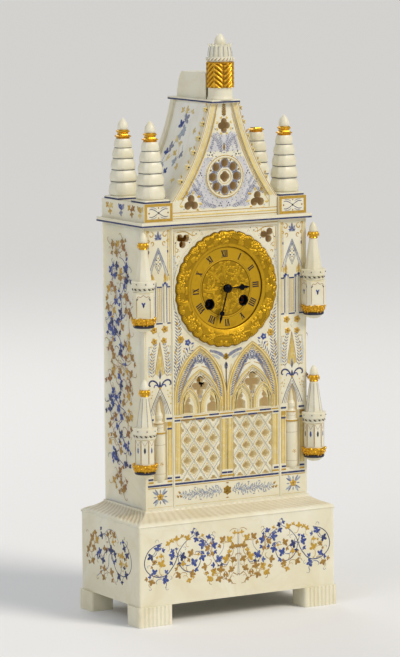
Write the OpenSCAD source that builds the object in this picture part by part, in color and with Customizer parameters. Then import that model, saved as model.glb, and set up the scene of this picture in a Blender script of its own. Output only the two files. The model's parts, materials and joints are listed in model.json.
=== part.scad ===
// Cathedral clock: an alabaster case with a pierced gothic front, a gilt brass dial
// and a round spring-driven movement held between the dial and a ring at the back.
// Axes: X to the right, Y to the back, Z up; the floor is z = 0.

/* [Base] */
// Width of the base block
base_w = 220; // [210:1:230]
// Depth of the base block
base_d = 116; // [110:1:122]
// Height of the feet
foot_h = 19.5; // [15:0.5:24]
// Height of the base block above the feet
base_h = 76.5; // [70:0.5:84]
// Wall of the hollow base
base_wall = 20; // [14:1:26]
// Height of the moulded top of the base
moulding_h = 13; // [11:0.5:16]
// How far the feet stand proud of the base
foot_out = 2; // [1:0.25:3]
// Width of a front foot
foot_w = 37.5; // [32:0.5:42]
// Depth of a foot, and the width of a rear foot
foot_d = 25; // [22:0.5:30]

/* [Case] */
// Width of the case body
body_w = 182; // [178:1:186]
// Depth of the case body
body_d = 81; // [78:1:86]
// Front face of the case body, behind the middle of the base
body_front = -38; // [-40:0.5:-36]
// Height of the case body
body_h = 273; // [268:1:280]
// Height of the arched field, from its string course to the top of the body
field_h = 187.5; // [184:0.5:191]
// Thickness of the pierced front without its relief
front_t = 6; // [5:0.5:7]
// Depth of the relief on the front
relief = 1; // [0.5:0.1:1.5]
// Thickness of the side and back panels
side_t = 8; // [6:0.5:10]
// Thickness of the cornice slab
cornice_t = 4.5; // [3.5:0.5:6]
// How far the cornice overhangs the body
cornice_out = 4; // [3:0.5:6]
// Height of the two parapet bars
parapet_h = 18; // [16:0.5:20]
// Width of one parapet bar
parapet_w = 31; // [28:0.5:33]

/* [Roof] */
// Height of the gable above the cornice
gable_h = 111; // [106:1:116]
// Thickness of the front gable
gable_t = 8; // [6:0.5:9]
// Half width of the gable at its neck
neck_w = 16.5; // [15:0.5:18]
// Radius of the hollow slopes
slope_r = 225; // [215:5:260]
// How far the roof sides lie under the gable edges
roof_in = 3; // [2:0.5:4]
// Thickness of a roof side
roof_t = 6; // [5:0.5:8]
// Width of the cap slab
cap_w = 31; // [29:0.5:34]
// Thickness of the cap slab
cap_t = 3; // [2.5:0.5:4]
// Largest radius of the leafy drum of the finial
drum_r = 13.9; // [13:0.1:14.5]
// Height of the finial up to its rope ring
drum_h = 36.2; // [34:0.2:39]

/* [Tracery] */
// Pitch of the lattice openings across
lattice_x = 14.6; // [14:0.1:15.2]
// Pitch of the lattice openings upwards
lattice_z = 20; // [19:0.5:21]
// Radius of one lobe of a lattice opening
lobe_r = 2; // [1.6:0.1:2.3]
// Middle of each gothic arch from the middle of the clock
arch_x = 29.5; // [29:0.25:30]
// Radius of the rose window
rose_r = 18; // [17:0.5:19]
// Height of the middle of the rose window above the cornice
rose_up = 40; // [39:0.5:41]

/* [Pinnacles and turrets] */
// Side of the lowest tier of a pinnacle
pinnacle_w = 24.6; // [23:0.1:25.5]
// Height of the five tiers of a pinnacle
pinnacle_h = 55; // [52:0.5:58]
// Radius of the drum of a hanging turret
turret_r = 9.6; // [9:0.1:10.2]
// Height of a hanging turret
turret_h = 95; // [92:0.5:97]
// Height of the lower turrets above the foot of the body
turret_low = 33.5; // [30:0.5:36]
// Height of the upper turrets above the string course
turret_high = 89; // [86:0.5:91]

/* [Dial and movement] */
// Height of the middle of the dial above the string course
dial_up = 124.1; // [123:0.1:125]
// How far the dial has been turned in its seat, in degrees
dial_turn = 2.5; // [0:0.5:4]
// Outer radius of the bezel
bezel_r = 57.5; // [56:0.5:59]
// Radius of the openings in the front and back of the case
opening_r = 46; // [45:0.5:47]
// Radius of the movement plates
plate_r = 38; // [37:0.5:39]
// Sideways distance of the winding arbors from the middle
wind_x = 18.9; // [18.5:0.1:19.2]
// Distance of the winding arbors below the middle
wind_z = 13.9; // [13.5:0.1:14.4]
// Length of the minute hand
minute_l = 35; // [33:0.5:37]
// Length of the hour hand
hour_l = 25.5; // [24:0.5:27]
// Length of the pendulum from its pivot to the middle of the bob
pendulum_l = 112; // [108:0.5:118]
// Radius of the pendulum bob
bob_r = 16; // [14:0.5:18]
// Radius of the bell at its mouth
bell_r = 30.2; // [28:0.2:31]
// Running clearance round a turning shaft
fit = 0.06; // [0.03:0.01:0.1]

/* [Hidden] */
$fn = 48;
eps = 0.01;
stone = [0.9, 0.87, 0.77];
gilt = [0.8, 0.62, 0.2];
brass = [0.78, 0.65, 0.35];
steel = [0.25, 0.26, 0.3];
gold = [0.85, 0.65, 0.25];

base_top = foot_h + base_h;
body_z = base_top + moulding_h;
body_top = body_z + body_h;
body_back = body_front + body_d;
body_x = body_w / 2;
roof_z = body_top + cornice_t;
parapet_z = roof_z + parapet_h;
gable_top = roof_z + gable_h;
cap_top = gable_top + cap_t;
bar_out = 0.5;
bar_front = body_front - 1.5;
bar_back = body_back + 1.5;
bar_x0 = body_x - bar_out - parapet_w;
gable_x = bar_x0 - 0.1;
gable_front_y = bar_front + 2.5;
gable_rear_y = body_back - 10;
chord = [neck_w - gable_x, gable_top - 1 - parapet_z];
chord_l = norm(chord);
slope_out = sqrt(slope_r * slope_r - chord_l * chord_l / 4);
slope_c = [
    (neck_w + gable_x) / 2 + slope_out * chord[1] / chord_l,
    (gable_top - 1 + parapet_z) / 2 - slope_out * chord[0] / chord_l
];
tower_x = body_x - 16.4;
field_x = body_x - 32.2;
lattice_foot = 24.5;
string_z = body_h - field_h;
lattice_h = string_z - lattice_foot;
spring_z = string_z + 19.5;
finial_y = bar_front + 10;

dial_z = body_z + string_z + dial_up;
dial_y = body_front + 0.5;
dial_r = opening_r - 3;
plate_y = dial_y + 9;
plate_t = 2;
plate_gap = 27;
rear_y = plate_y + plate_t + plate_gap;
cannon_z = 12;
minute_wheel_z = 36;
minute_m = 0.5;
motion_c = minute_m * (cannon_z + minute_wheel_z) / 2;
minute_pinion_z = 10;
hour_z = 40;
hour_m = 2 * motion_c / (minute_pinion_z + hour_z);
great_z = 76;
great_m = 0.4;
second_pinion_z = 12;
second_z = 72;
second_m = 0.36;
centre_pinion_z = 12;
centre_z = 90;
centre_m = 0.28;
third_pinion_z = 6;
third_z = 84;
third_m = 0.25;
escape_pinion_z = 7;
barrel_at = [wind_x, -wind_z];
barrel_c = norm(barrel_at);
great_c = great_m * (great_z + second_pinion_z) / 2;
second_c = second_m * (second_z + centre_pinion_z) / 2;
second_a = (second_c * second_c - great_c * great_c + barrel_c * barrel_c) / (2 * barrel_c);
second_b = sqrt(second_c * second_c - second_a * second_a);
second_at = [
    (second_a * wind_x + second_b * wind_z) / barrel_c,
    (second_b * wind_x - second_a * wind_z) / barrel_c
];
third_c = centre_m * (centre_z + third_pinion_z) / 2;
third_at = [-7, sqrt(third_c * third_c - 49)];
escape_c = third_m * (third_z + escape_pinion_z) / 2;
escape_at = [0, third_at[1] + sqrt(escape_c * escape_c - 49)];
pallet_at = [0, escape_at[1] + 11];
hammer_at = [-33, 8];
fast_arbor_r = min(centre_m * (third_pinion_z / 2 - 1.15), third_m * (escape_pinion_z / 2 - 1.15));
pivot_x = -pallet_at[1] * sin(dial_turn);
pivot_z = dial_z + pallet_at[1] * cos(dial_turn);
strap_r = opening_r - 4;
strap_a = 30;
ring_y = body_back;
door_r = opening_r - 3.5;
hinge_x = door_r + 2.7;
hinge_y = ring_y + 4.2;

// The angle that brings a second gear into mesh with a first one that stands at angle t1.
function mesh(at1, z1, t1, at2, z2) =
    let (d = at2 - at1, phi = atan2(d[1], d[0]))
    phi + 180 - 360 / z2 * (0.5 - (phi - t1) * z1 / 360);

// A drawing in X and Z, cut out between two depths.
module upright(front, depth) {
    translate([0, front + depth, 0])
    rotate([90, 0, 0])
    linear_extrude(depth)
    children();
}

// Things drawn round the middle of the dial, turned as the dial is.
module on_dial() {
    translate([0, 0, dial_z])
    rotate([0, -dial_turn, 0])
    children();
}

// A shaft or disc along Y between two depths, at a point of the movement.
module disc(at, r, y0, y1) {
    translate([at[0], y1, at[1]])
    rotate([90, 0, 0])
    cylinder(r = r, h = y1 - y0);
}

// A turned shape: the profile's second number is the depth in front of y.
module turned(at, y) {
    translate([at[0], y, at[1]])
    rotate([90, 0, 0])
    rotate_extrude()
    children();
}

// A wheel or pinion with straight-sided teeth.
module gear(at, z, m, y0, y1, bore = 0, turn = 0) {
    pitch = 360 / z;
    root = m * (z / 2 - 1.15);
    tip = m * (z / 2 + 0.9);
    translate([at[0], y1, at[1]])
    rotate([90, 0, 0])
    linear_extrude(y1 - y0)
    rotate(turn)
    difference() {
        polygon([for (i = [0:z - 1], k = [0:3])
            let (a = (i + [-0.29, -0.13, 0.13, 0.29][k]) * pitch,
                 r = (k == 0 || k == 3) ? root : tip)
            [r * cos(a), r * sin(a)]]);
        if (bore > 0) circle(r = bore);
        if (z > 30) {
            for (a = [45:90:315]) {
                rotate(a)
                translate([m * z * 0.29, 0])
                circle(r = m * z * 0.105);
            }
        }
    }
}

// A box whose upright edges are rounded.
module soft_box(x, y, r, h) {
    linear_extrude(h) {
        square([x - 2 * r, y], center = true);
        square([x, y - 2 * r], center = true);
        for (i = [-1, 1], j = [-1, 1]) {
            translate([i * (x / 2 - r), j * (y / 2 - r)])
            circle(r = r);
        }
    }
}

// A square with its corners cut off.
module cut_square(s, c) {
    h = s / 2;
    k = h - c;
    polygon([[h, k], [k, h], [-k, h], [-h, k], [-h, -k], [-k, -h], [k, -h], [h, -k]]);
}

// A foot with upright flutes on its front face.
module foot(side, end) {
    x = end < 0 ? foot_w : foot_d;
    color(stone)
    translate([side * (base_w / 2 + foot_out - x / 2), end * (base_d / 2 + foot_out - foot_d / 2), 0])
    difference() {
        soft_box(x, foot_d, 3, foot_h);
        if (end < 0) {
            for (i = [-3:3]) {
                translate([i * (x - 11) / 6, -foot_d / 2 - 0.9, -eps])
                cylinder(r = 1.7, h = foot_h + 2 * eps);
            }
        }
    }
}

// The hollow base block, open below.
module base_block() {
    color(stone)
    difference() {
        translate([0, 0, foot_h])
        soft_box(base_w, base_d, 2, base_h);
        translate([0, 0, foot_h - eps])
        soft_box(base_w - 2 * base_wall, base_d - 2 * base_wall, 4, base_h - base_wall + eps);
    }
}

// The moulded top of the base: a bead at the edge and a hollow slope to the body.
module base_moulding() {
    // share of the way in from the base edge, then height above the base
    steps = [[0, 0], [-0.03, 1.2], [0.02, 2.6], [0.12, 4], [0.25, 5.1], [0.5, 6.6],
             [0.78, 9.4], [0.93, 11.6], [0.93, 13]];
    dx = base_w / 2 - body_x;
    front_in = base_d / 2 + body_front;
    back_in = base_d / 2 - body_back;
    n = len(steps);
    points = [for (s = steps, c = [[-1, -1], [1, -1], [1, 1], [-1, 1]])
        [c[0] * (base_w / 2 - dx * s[0]),
         c[1] < 0 ? -base_d / 2 + front_in * s[0] : base_d / 2 - back_in * s[0],
         base_top + s[1] * moulding_h / 13]];
    sides = [for (i = [0:n - 2], k = [0:3])
        [4 * i + k, 4 * i + 4 + k, 4 * i + 4 + (k + 1) % 4, 4 * i + (k + 1) % 4]];
    color(stone)
    polyhedron(points, concat([[0, 1, 2, 3]], sides,
        [[4 * n - 1, 4 * n - 2, 4 * n - 3, 4 * n - 4]]));
}

// Three lobes, one of them pointing along the given angle.
module trefoil(r, off, angle) {
    for (a = [0:120:240]) {
        rotate(angle + a)
        translate([off, 0])
        circle(r = r);
    }
    circle(r = r * 0.6);
}

// A pointed arch of a given half span and rise, standing on z = 0.
module pointed(half, rise) {
    r = (rise * rise + half * half) / (2 * half);
    intersection() {
        translate([half - r, 0])
        circle(r = r);
        translate([r - half, 0])
        circle(r = r);
        translate([-half - 1, 0])
        square([2 * half + 2, rise + 1]);
    }
}

// A pointed arch with its straight legs down to a sill.
module arch_field(half, rise, spring, sill) {
    translate([0, spring])
    pointed(half, rise);
    translate([-half, sill])
    square([2 * half, spring - sill]);
}

// The rib that follows a pointed arch.
module arch_rib(half, rise, spring, sill, w) {
    difference() {
        arch_field(half, rise, spring, sill);
        arch_field(half - w, rise - w * 1.25, spring, sill - 1);
    }
}

// A lancet opening with cusped edges.
module lancet() {
    polygon([[-6.4, 0], [6.4, 0], [6.4, 6.6], [5, 8.4], [2.6, 9.2], [1.9, 10.6], [-1.9, 10.6],
             [-2.6, 9.2], [-5, 8.4], [-6.4, 6.6]]);
    for (s = [-1, 1]) {
        translate([s * 1.2, 12.6])
        circle(r = 2.4);
        translate([s * 0.9, 16.8])
        circle(r = 2.4);
    }
    translate([0, 20.6])
    circle(r = 1.9);
    polygon([[-1.6, 20.6], [1.6, 20.6], [0.2, 24], [-0.2, 24]]);
}

// The four-lobed opening above two lancets.
module arch_rose() {
    for (s = [-1, 1]) {
        translate([s * 5.3, 0.6])
        circle(r = 3.9);
    }
    translate([0, 6.2])
    circle(r = 3.9);
    translate([0, -4.6])
    circle(r = 3.8);
    polygon([[-3.3, -6], [3.3, -6], [0.4, -13], [-0.4, -13]]);
    translate([0, 0.6])
    circle(r = 3.3);
}

// The openings of one lattice panel, cut off at the edges of its field.
module lattice(side) {
    top = string_z - 1;
    rows = floor(2 * lattice_h / lattice_z);
    intersection() {
        translate([side * arch_x - 22, lattice_foot])
        square([44, lattice_h]);
        for (row = [0:rows]) {
            n = row % 2 == 0 ? 1 : 1.5;
            for (i = [-n:1:n]) {
                translate([side * arch_x + i * lattice_x, top - row * lattice_z / 2])
                for (a = [0:90:270]) {
                    rotate(a)
                    translate([lobe_r * 0.9, 0])
                    circle(r = lobe_r);
                }
            }
        }
    }
}

// All that is pierced through the front.
module front_openings() {
    translate([0, string_z + dial_up])
    circle(r = opening_r);
    for (s = [-1, 1]) {
        translate([s * (field_x - 11.5), body_h - 14.4])
        trefoil(3.6, 4.1, s > 0 ? 50 : 145);
        for (d = [-14.3, 14.3]) {
            translate([s * arch_x + d, string_z + 5])
            lancet();
        }
        translate([s * arch_x, string_z + 30.1])
        arch_rose();
        lattice(s);
    }
}

// The niche that holds one of the small round towers, narrow round its spire.
module niche() {
    translate([-7.6, lattice_foot + 3.5])
    square([15.2, lattice_h - 4.5]);
    arch_field(5.6, 22, string_z + 4, string_z - 2);
}

// What stands raised on the front.
module front_relief() {
    for (s = [-1, 1]) {
        difference() {
            translate([s * (body_x + field_x) / 2, body_h / 2])
            square([body_x - field_x, body_h], center = true);
            translate([s * tower_x, 0])
            niche();
        }
    }
    for (band = [[0, 20.5], [20, 4.5], [string_z, 4.5], [body_h - 5.5, 5.5]]) {
        translate([-field_x - eps, band[0]])
        square([2 * field_x + 2 * eps, band[1]]);
    }
    translate([-6, lattice_foot - 0.5])
    square([12, lattice_h + 1]);
    for (s = [-1, 1]) {
        translate([s * (field_x - 3.6) - 3.8, lattice_foot - 0.5])
        square([7.6, lattice_h + 1]);
        translate([s * arch_x, 0]) {
            arch_rib(arch_x - 0.1, 51, spring_z, string_z + 3.5, 2.6);
            arch_rib(24, 38, spring_z - 10, string_z + 3.5, 1.8);
            for (d = [-12, 12]) {
                translate([d, 0])
                arch_rib(11.6, 20, spring_z - 9, string_z + 3.5, 1.2);
            }
        }
    }
    translate([0, string_z + dial_up])
    circle(r = bezel_r + 1);
}

// One small round tower carved half free in its niche: shaft, ringed neck, ball and spire.
module niche_tower() {
    h = lattice_h;
    difference() {
        rotate_extrude()
        polygon([[0, 0], [2.4, 0.4], [4.6, 2.2], [5.9, 4.6], [6.5, 7], [6.5, h - 12.6],
                 [6.9, h - 12.2], [6.9, h - 10.8], [6.3, h - 10.2], [5, h - 9.8], [5, h - 3.8],
                 [5.5, h - 3.2], [5.5, h - 2.2], [4.2, h - 1.4], [3.4, h], [4.3, h + 2.6],
                 [4.3, h + 5.4], [3.2, h + 7.6], [2.6, h + 8.4], [2.3, h + 11], [1.5, h + 17],
                 [0.5, h + 23], [0, h + 23]]);
        translate([-8, 2.2, -1])
        cube([16, 8, h + 26]);
    }
}

// The pierced front with its relief and the two niche towers.
module front_panel() {
    color(stone)
    translate([0, 0, body_z]) {
        difference() {
            union() {
                upright(body_front + relief, front_t)
                translate([-body_x, 0])
                square([body_w, body_h]);
                upright(body_front, relief)
                front_relief();
            }
            upright(body_front - 1, front_t + relief + 2)
            front_openings();
            for (s = [-1, 1]) {
                upright(body_front - 1, 5)
                translate([s * tower_x, 0])
                niche();
            }
        }
        for (s = [-1, 1]) {
            translate([s * tower_x, body_front + 3.2, lattice_foot + 0.5])
            niche_tower();
        }
    }
}

// A side panel between the front and the back edge of the body.
module side_panel(side) {
    y0 = body_front + relief + front_t;
    color(stone)
    translate([side > 0 ? body_x - side_t : -body_x, y0, body_z])
    cube([side_t, body_back - y0, body_h]);
}

// The back panel with the round opening for the movement.
module back_panel() {
    color(stone)
    upright(body_back - side_t, side_t)
    difference() {
        translate([-body_x + side_t, body_z])
        square([body_w - 2 * side_t, body_h]);
        translate([0, dial_z])
        circle(r = opening_r);
    }
}

// The slab that closes the body.
module cornice() {
    color(stone)
    translate([-body_x - cornice_out, bar_front - 3, body_top])
    cube([body_w + 2 * cornice_out, bar_back - bar_front + 6, cornice_t]);
}

// One bar of the parapet; its front end is a square painted block.
module parapet(side) {
    color(stone)
    translate([side > 0 ? bar_x0 : -bar_x0 - parapet_w, bar_front, roof_z])
    cube([parapet_w, bar_back - bar_front, parapet_h]);
}

// The outline of the gable, drawn in by a given amount.
module gable_outline(inset = 0) {
    w = gable_x - inset;
    difference() {
        polygon([[-w, roof_z], [w, roof_z], [w, parapet_z], [neck_w - inset + 0.4, gable_top],
                 [-neck_w + inset - 0.4, gable_top], [-w, parapet_z]]);
        for (s = [-1, 1]) {
            translate([s * slope_c[0], slope_c[1]])
            circle(r = slope_r + inset, $fn = 160);
        }
    }
}

// The leafy knobs along the slopes.
module crockets() {
    for (s = [-1, 1], k = [0:5]) {
        z = gable_top - 6 - k * 13.6;
        x = slope_c[0] - sqrt(slope_r * slope_r - (z - slope_c[1]) * (z - slope_c[1]));
        translate([s * (x + 1), z])
        circle(r = 2.8);
    }
}

// The rose window and the smaller openings of the gable.
module gable_openings() {
    translate([0, roof_z + rose_up]) {
        for (a = [0:90:270]) {
            rotate(a)
            translate([2.3, 0])
            circle(r = 3.1);
        }
        for (a = [0:45:315]) {
            rotate(a)
            translate([rose_r - 4.9, 0])
            circle(r = 4.2);
        }
        for (a = [22.5:45:360]) {
            rotate(a)
            translate([rose_r - 1.4, 0])
            circle(r = 1.1);
        }
    }
    translate([0, roof_z + 89]) {
        circle(r = 2);
        for (a = [0:90:270]) {
            rotate(a)
            translate([a % 180 == 0 ? 3.4 : 4, 0])
            circle(r = 3.3);
        }
    }
    for (s = [-1, 1]) {
        translate([s * (gable_x - 22.4), roof_z + 15.9])
        trefoil(3.9, 4.3, 90);
    }
}

// The front gable with its ribs, rose window and crockets.
module gable_front() {
    color(stone)
    difference() {
        union() {
            upright(gable_front_y + relief, gable_t - relief)
            gable_outline();
            upright(gable_front_y + relief + 1.5, gable_t - relief - 3)
            crockets();
            upright(gable_front_y, relief) {
                difference() {
                    gable_outline();
                    translate([0, 8.5])
                    gable_outline(9);
                }
                translate([0, roof_z + rose_up])
                circle(r = rose_r + 3);
            }
        }
        upright(gable_front_y - 1, gable_t + 2)
        gable_openings();
    }
}

// The plain rear gable.
module gable_rear() {
    color(stone)
    upright(gable_rear_y, 6)
    gable_outline();
}

// One hollow side of the roof, set in under the edges of both gables.
module roof_side(side) {
    y0 = gable_front_y + gable_t;
    color(stone)
    upright(y0, gable_rear_y - y0)
    intersection() {
        difference() {
            gable_outline(roof_in);
            gable_outline(roof_in + roof_t);
        }
        translate([side > 0 ? 4 : -104, roof_z])
        square([100, gable_h]);
    }
}

// The slab on top of the roof.
module cap_slab() {
    color(stone)
    translate([-cap_w / 2, bar_front - 1, gable_top])
    cube([cap_w, bar_back - bar_front + 2, cap_t]);
}

// The block along the ridge behind the finial, its rear end sloping.
module ridge_block() {
    y0 = finial_y + 1.5;
    y1 = bar_back - 8.5;
    color(stone)
    difference() {
        translate([5 - cap_w / 2, 0, cap_top])
        rotate([90, 0, 90])
        linear_extrude(cap_w - 10)
        polygon([[y0, 0], [y1, 0], [y1 - 0.4, 6.5], [y1 - 3, 15], [y1 - 6, 21.5],
                 [y1 - 8.4, 24.2], [y1 - 10.5, 25], [y0, 25]]);
        translate([0, finial_y, cap_top - 1])
        cylinder(r = drum_r + 0.4, h = 30);
    }
}

// The foot and the gilt leafy drum of the finial, turned.
module finial_column() {
    color(gold)
    translate([0, finial_y, cap_top])
    rotate_extrude()
    polygon([[0, 0], [drum_r - 0.7, 0], [drum_r - 1.6, 1.8], [drum_r - 2, 4], [drum_r - 2, 11.2],
             [drum_r - 0.6, 11.6], [drum_r - 0.6, 20], [drum_r, drum_h - 6], [drum_r, drum_h - 1],
             [drum_r - 1.4, drum_h], [0, drum_h]]);
}

// The rope ring, the crown of leaves and the bud of the finial.
module finial_crown() {
    color(stone)
    translate([0, finial_y, cap_top + drum_h])
    rotate_extrude()
    polygon([[0, 0], [drum_r - 1.4, 0], [drum_r + 0.1, 1.2], [drum_r + 0.3, 2.5],
             [drum_r + 0.1, 3.7], [12.6, 4.9], [12, 5.2], [12, 9], [11, 14], [9.6, 18],
             [7, 18.2], [5.7, 18.8], [5.5, 21.4], [4.5, 24.4], [2.4, 26.6], [0, 27.2]]);
}

// A pinnacle: a base plate, five swelling tiers and the lower gilt collar.
module pinnacle(side, end) {
    x = side * (bar_x0 + parapet_w / 2);
    y = end < 0 ? bar_front + parapet_w / 2 : bar_back - parapet_w / 2;
    heights = [0.245, 0.205, 0.2, 0.185, 0.165];
    sides = [1, 0.94, 0.84, 0.74, 0.61];
    starts = [0, 0.245, 0.45, 0.65, 0.835];
    color(stone)
    translate([x, y, parapet_z]) {
        linear_extrude(3)
        cut_square(parapet_w - 3.6, 1);
        for (i = [0:4]) {
            s = pinnacle_w * sides[i];
            h = pinnacle_h * heights[i];
            translate([0, 0, 3 + pinnacle_h * starts[i]])
            hull() {
                linear_extrude(0.1)
                cut_square(s * 0.92, s * 0.2);
                translate([0, 0, h * 0.28])
                linear_extrude(h * 0.25)
                cut_square(s, s * 0.2);
                translate([0, 0, h - 0.1])
                linear_extrude(0.1)
                cut_square(s * 0.82, s * 0.18);
            }
        }
        translate([0, 0, 3 + pinnacle_h])
        linear_extrude(1.2)
        cut_square(10.6, 2.6);
        translate([0, 0, 4.2 + pinnacle_h])
        linear_extrude(2)
        cut_square(12.4, 2.6);
        translate([0, 0, 6.2 + pinnacle_h])
        linear_extrude(1.2)
        cut_square(9.2, 2.4);
    }
}

// The upper collars and buds that three of the pinnacles still have.
module pinnacle_buds() {
    color(gold)
    for (at = [[-1, -1], [1, -1], [-1, 1]]) {
        x = at[0] * (bar_x0 + parapet_w / 2);
        y = at[1] < 0 ? bar_front + parapet_w / 2 : bar_back - parapet_w / 2;
        translate([x, y, parapet_z + 7.4 + pinnacle_h])
        rotate_extrude()
        polygon([[0, 0], [4.4, 0], [4.3, 1.4], [5.9, 2], [5.9, 3.4], [4.5, 4.2], [5.2, 6.4],
                 [4.9, 9], [3.6, 12.6], [1.6, 15], [0, 15.5]]);
    }
}

// A hanging turret, cut to sit round the corner of the body. The left pair is turned further.
// The drum of the upper ones is a square with cut corners, that of the lower ones has 8 sides.
module turret(side, z0, square_drum) {
    k = turret_r / 9.6;
    color(stone)
    difference() {
        translate([side * (body_x + 4.2), body_front - 6.6, body_z + z0])
        rotate(side > 0 ? -7.5 : -30)
        scale([1, 1, turret_h / 95]) {
            cylinder(r1 = 3 * k, r2 = 8.3 * k, h = 3.8);
            translate([0, 0, 3.8])
            cylinder(r = 10.2 * k, h = 2.6);
            translate([0, 0, 6.4])
            cylinder(r1 = 9.6 * k, r2 = 12.3 * k, h = 7.2);
            translate([0, 0, 13.6])
            linear_extrude(24.6)
            if (square_drum) {
                cut_square(20 * k, 3.3 * k);
            } else {
                rotate(22.5)
                circle(r = 10 * k, $fn = 8);
            }
            translate([0, 0, 38.2])
            cylinder(r1 = 10.6 * k, r2 = 12.3 * k, h = 10.6);
            translate([0, 0, 48.8])
            cylinder(r1 = 8.3 * k, r2 = 3.9 * k, h = 30);
            translate([0, 0, 78.8])
            cylinder(r1 = 4 * k, r2 = 5.6 * k, h = 7.4);
            translate([0, 0, 86.2])
            cylinder(r1 = 4.3 * k, r2 = 1.4 * k, h = 8.8);
        }
        translate([-body_x, body_front, body_z + z0 - 1])
        cube([body_w, 40, turret_h + 2]);
    }
}

// The gilt ring with its scalloped edge that holds the dial on the case.
module bezel() {
    f = -body_front;
    d = -dial_y;
    color(gilt)
    on_dial() {
        turned([0, 0], 0)
        polygon([[dial_r - 3, d + 0.05], [dial_r - 3, f + 0.7], [dial_r - 2.2, f + 1.3],
                 [dial_r + 1, f + 2.2], [bezel_r - 9, f + 3.6], [bezel_r - 5, f + 3.4],
                 [bezel_r - 1.6, f + 1.6], [bezel_r - 1.6, f + 0.05],
                 [opening_r - 0.6, f + 0.05], [opening_r - 0.6, f - 3.6],
                 [dial_r + 0.1, f - 3.6], [dial_r + 0.1, d + 0.05]]);
        for (i = [0:23]) {
            rotate([0, i * 15, 0])
            translate([bezel_r - 4, body_front - 0.05, 0])
            rotate([90, 0, 0])
            cylinder(r = 4, h = 1.6);
        }
    }
}

// The dial plate with its winding holes and three feet on the movement.
module dial_plate() {
    color(gilt)
    on_dial()
    difference() {
        union() {
            disc([0, 0], dial_r, dial_y, dial_y + 0.9);
            for (a = [30, 150, 270]) {
                disc([33 * cos(a), 33 * sin(a)], 1.3, dial_y + 0.8, plate_y);
            }
        }
        disc([0, 0], 3, dial_y - 1, dial_y + 2);
        for (s = [-1, 1]) {
            disc([s * wind_x, -wind_z], 4.2, dial_y - 1, dial_y + 2);
        }
    }
}

// A hand with a moon and a leaf point, drawn upwards, then turned to its angle.
module hand(angle, l, moon_at, moon_r, hub_r, bore, y0, y1) {
    color(steel)
    translate([0, 0, dial_z])
    rotate([0, angle, 0])
    upright(y0, y1 - y0)
    difference() {
        union() {
            circle(r = hub_r);
            translate([-0.6, 0])
            square([1.2, moon_at]);
            translate([0, moon_at])
            circle(r = moon_r);
            polygon([[-0.6, moon_at], [0.6, moon_at], [1.3, moon_at + moon_r + 2], [0.15, l],
                     [-0.15, l], [-1.3, moon_at + moon_r + 2]]);
        }
        circle(r = bore);
    }
}

// The hour hand, pressed on the pipe of the hour wheel.
module hour_hand() {
    hand(90, hour_l, 17, 3, 4.2, 2.3, dial_y - 2.6, dial_y - 1.9);
}

// The minute hand, on the square of the cannon pinion.
module minute_hand() {
    hand(195.4, minute_l, 25, 2.5, 3.6, 1.5, dial_y - 4.4, dial_y - 3.7);
}

// The domed collet that holds the minute hand.
module hand_collet() {
    color(steel)
    translate([0, 0, dial_z])
    turned([0, 0], 0)
    polygon([[0, -dial_y + 4.4], [4.3, -dial_y + 4.4], [4.3, -dial_y + 4.9],
             [3.2, -dial_y + 6], [1.6, -dial_y + 6.6], [0, -dial_y + 6.8]]);
}

// The cannon pinion, friction tight on the centre arbor.
module cannon_pinion() {
    color(steel)
    on_dial()
    difference() {
        union() {
            gear([0, 0], cannon_z, minute_m, plate_y - 2.6, plate_y - 0.4);
            disc([0, 0], 1.5, dial_y - 4.4, plate_y - 2.5);
        }
        disc([0, 0], 0.75, dial_y - 5, plate_y);
    }
}

// The minute wheel and its pinion, on a stud of the front plate.
module minute_wheel() {
    color(brass)
    on_dial()
    difference() {
        union() {
            gear([0, motion_c], minute_wheel_z, minute_m, plate_y - 2.2, plate_y - 1.2,
                 turn = mesh([0, 0], cannon_z, 0, [0, motion_c], minute_wheel_z));
            gear([0, motion_c], minute_pinion_z, hour_m, plate_y - 6, plate_y - 2.1);
        }
        disc([0, motion_c], 0.9 + fit, plate_y - 7, plate_y);
    }
}

// The hour wheel and the pipe that carries the hour hand.
module hour_wheel() {
    color(brass)
    on_dial()
    difference() {
        union() {
            gear([0, 0], hour_z, hour_m, plate_y - 5.5, plate_y - 4.5,
                 turn = mesh([0, motion_c], minute_pinion_z, 0, [0, 0], hour_z));
            disc([0, 0], 2.3, dial_y - 2.7, plate_y - 5.4);
        }
        disc([0, 0], 1.5 + fit, dial_y - 4, plate_y);
    }
}

// A movement plate with the holes its arbors turn in.
module plate(y0) {
    difference() {
        disc([0, 0], plate_r, y0, y0 + plate_t);
        disc([0, 0], 1.2 + fit, y0 - 1, y0 + plate_t + 1);
        for (s = [-1, 1]) {
            disc([s * wind_x, -wind_z], 2 + fit, y0 - 1, y0 + plate_t + 1);
        }
        for (at = [second_at, pallet_at, hammer_at]) {
            disc(at, 0.8 + fit, y0 - 1, y0 + plate_t + 1);
        }
        for (at = [third_at, escape_at]) {
            disc(at, fast_arbor_r + fit, y0 - 1, y0 + plate_t + 1);
        }
    }
}

// The front plate with the stud of the minute wheel.
module plate_front() {
    color(brass)
    on_dial() {
        plate(plate_y);
        disc([0, motion_c], 0.9, plate_y - 6.6, plate_y + 0.5);
    }
}

// The rear plate.
module plate_rear() {
    color(brass)
    on_dial()
    plate(rear_y);
}

// The four pillars between the plates.
module plate_pillars() {
    color(brass)
    on_dial()
    for (a = [60, 120, -72, -108]) {
        disc([34 * cos(a), 34 * sin(a)], 2, plate_y + plate_t, rear_y);
    }
}

// A mainspring barrel with its great wheel, round the winding arbor.
module barrel(side) {
    at = [side * wind_x, -wind_z];
    y = plate_y + plate_t;
    color(brass)
    on_dial()
    difference() {
        union() {
            gear(at, great_z, great_m, y + 1, y + 2.6);
            disc(at, 13.2, y + 2.5, y + 19);
        }
        disc(at, 12.2, y + 3.6, y + 17.9);
        disc(at, 2 + fit, y, y + 20);
    }
}

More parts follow.
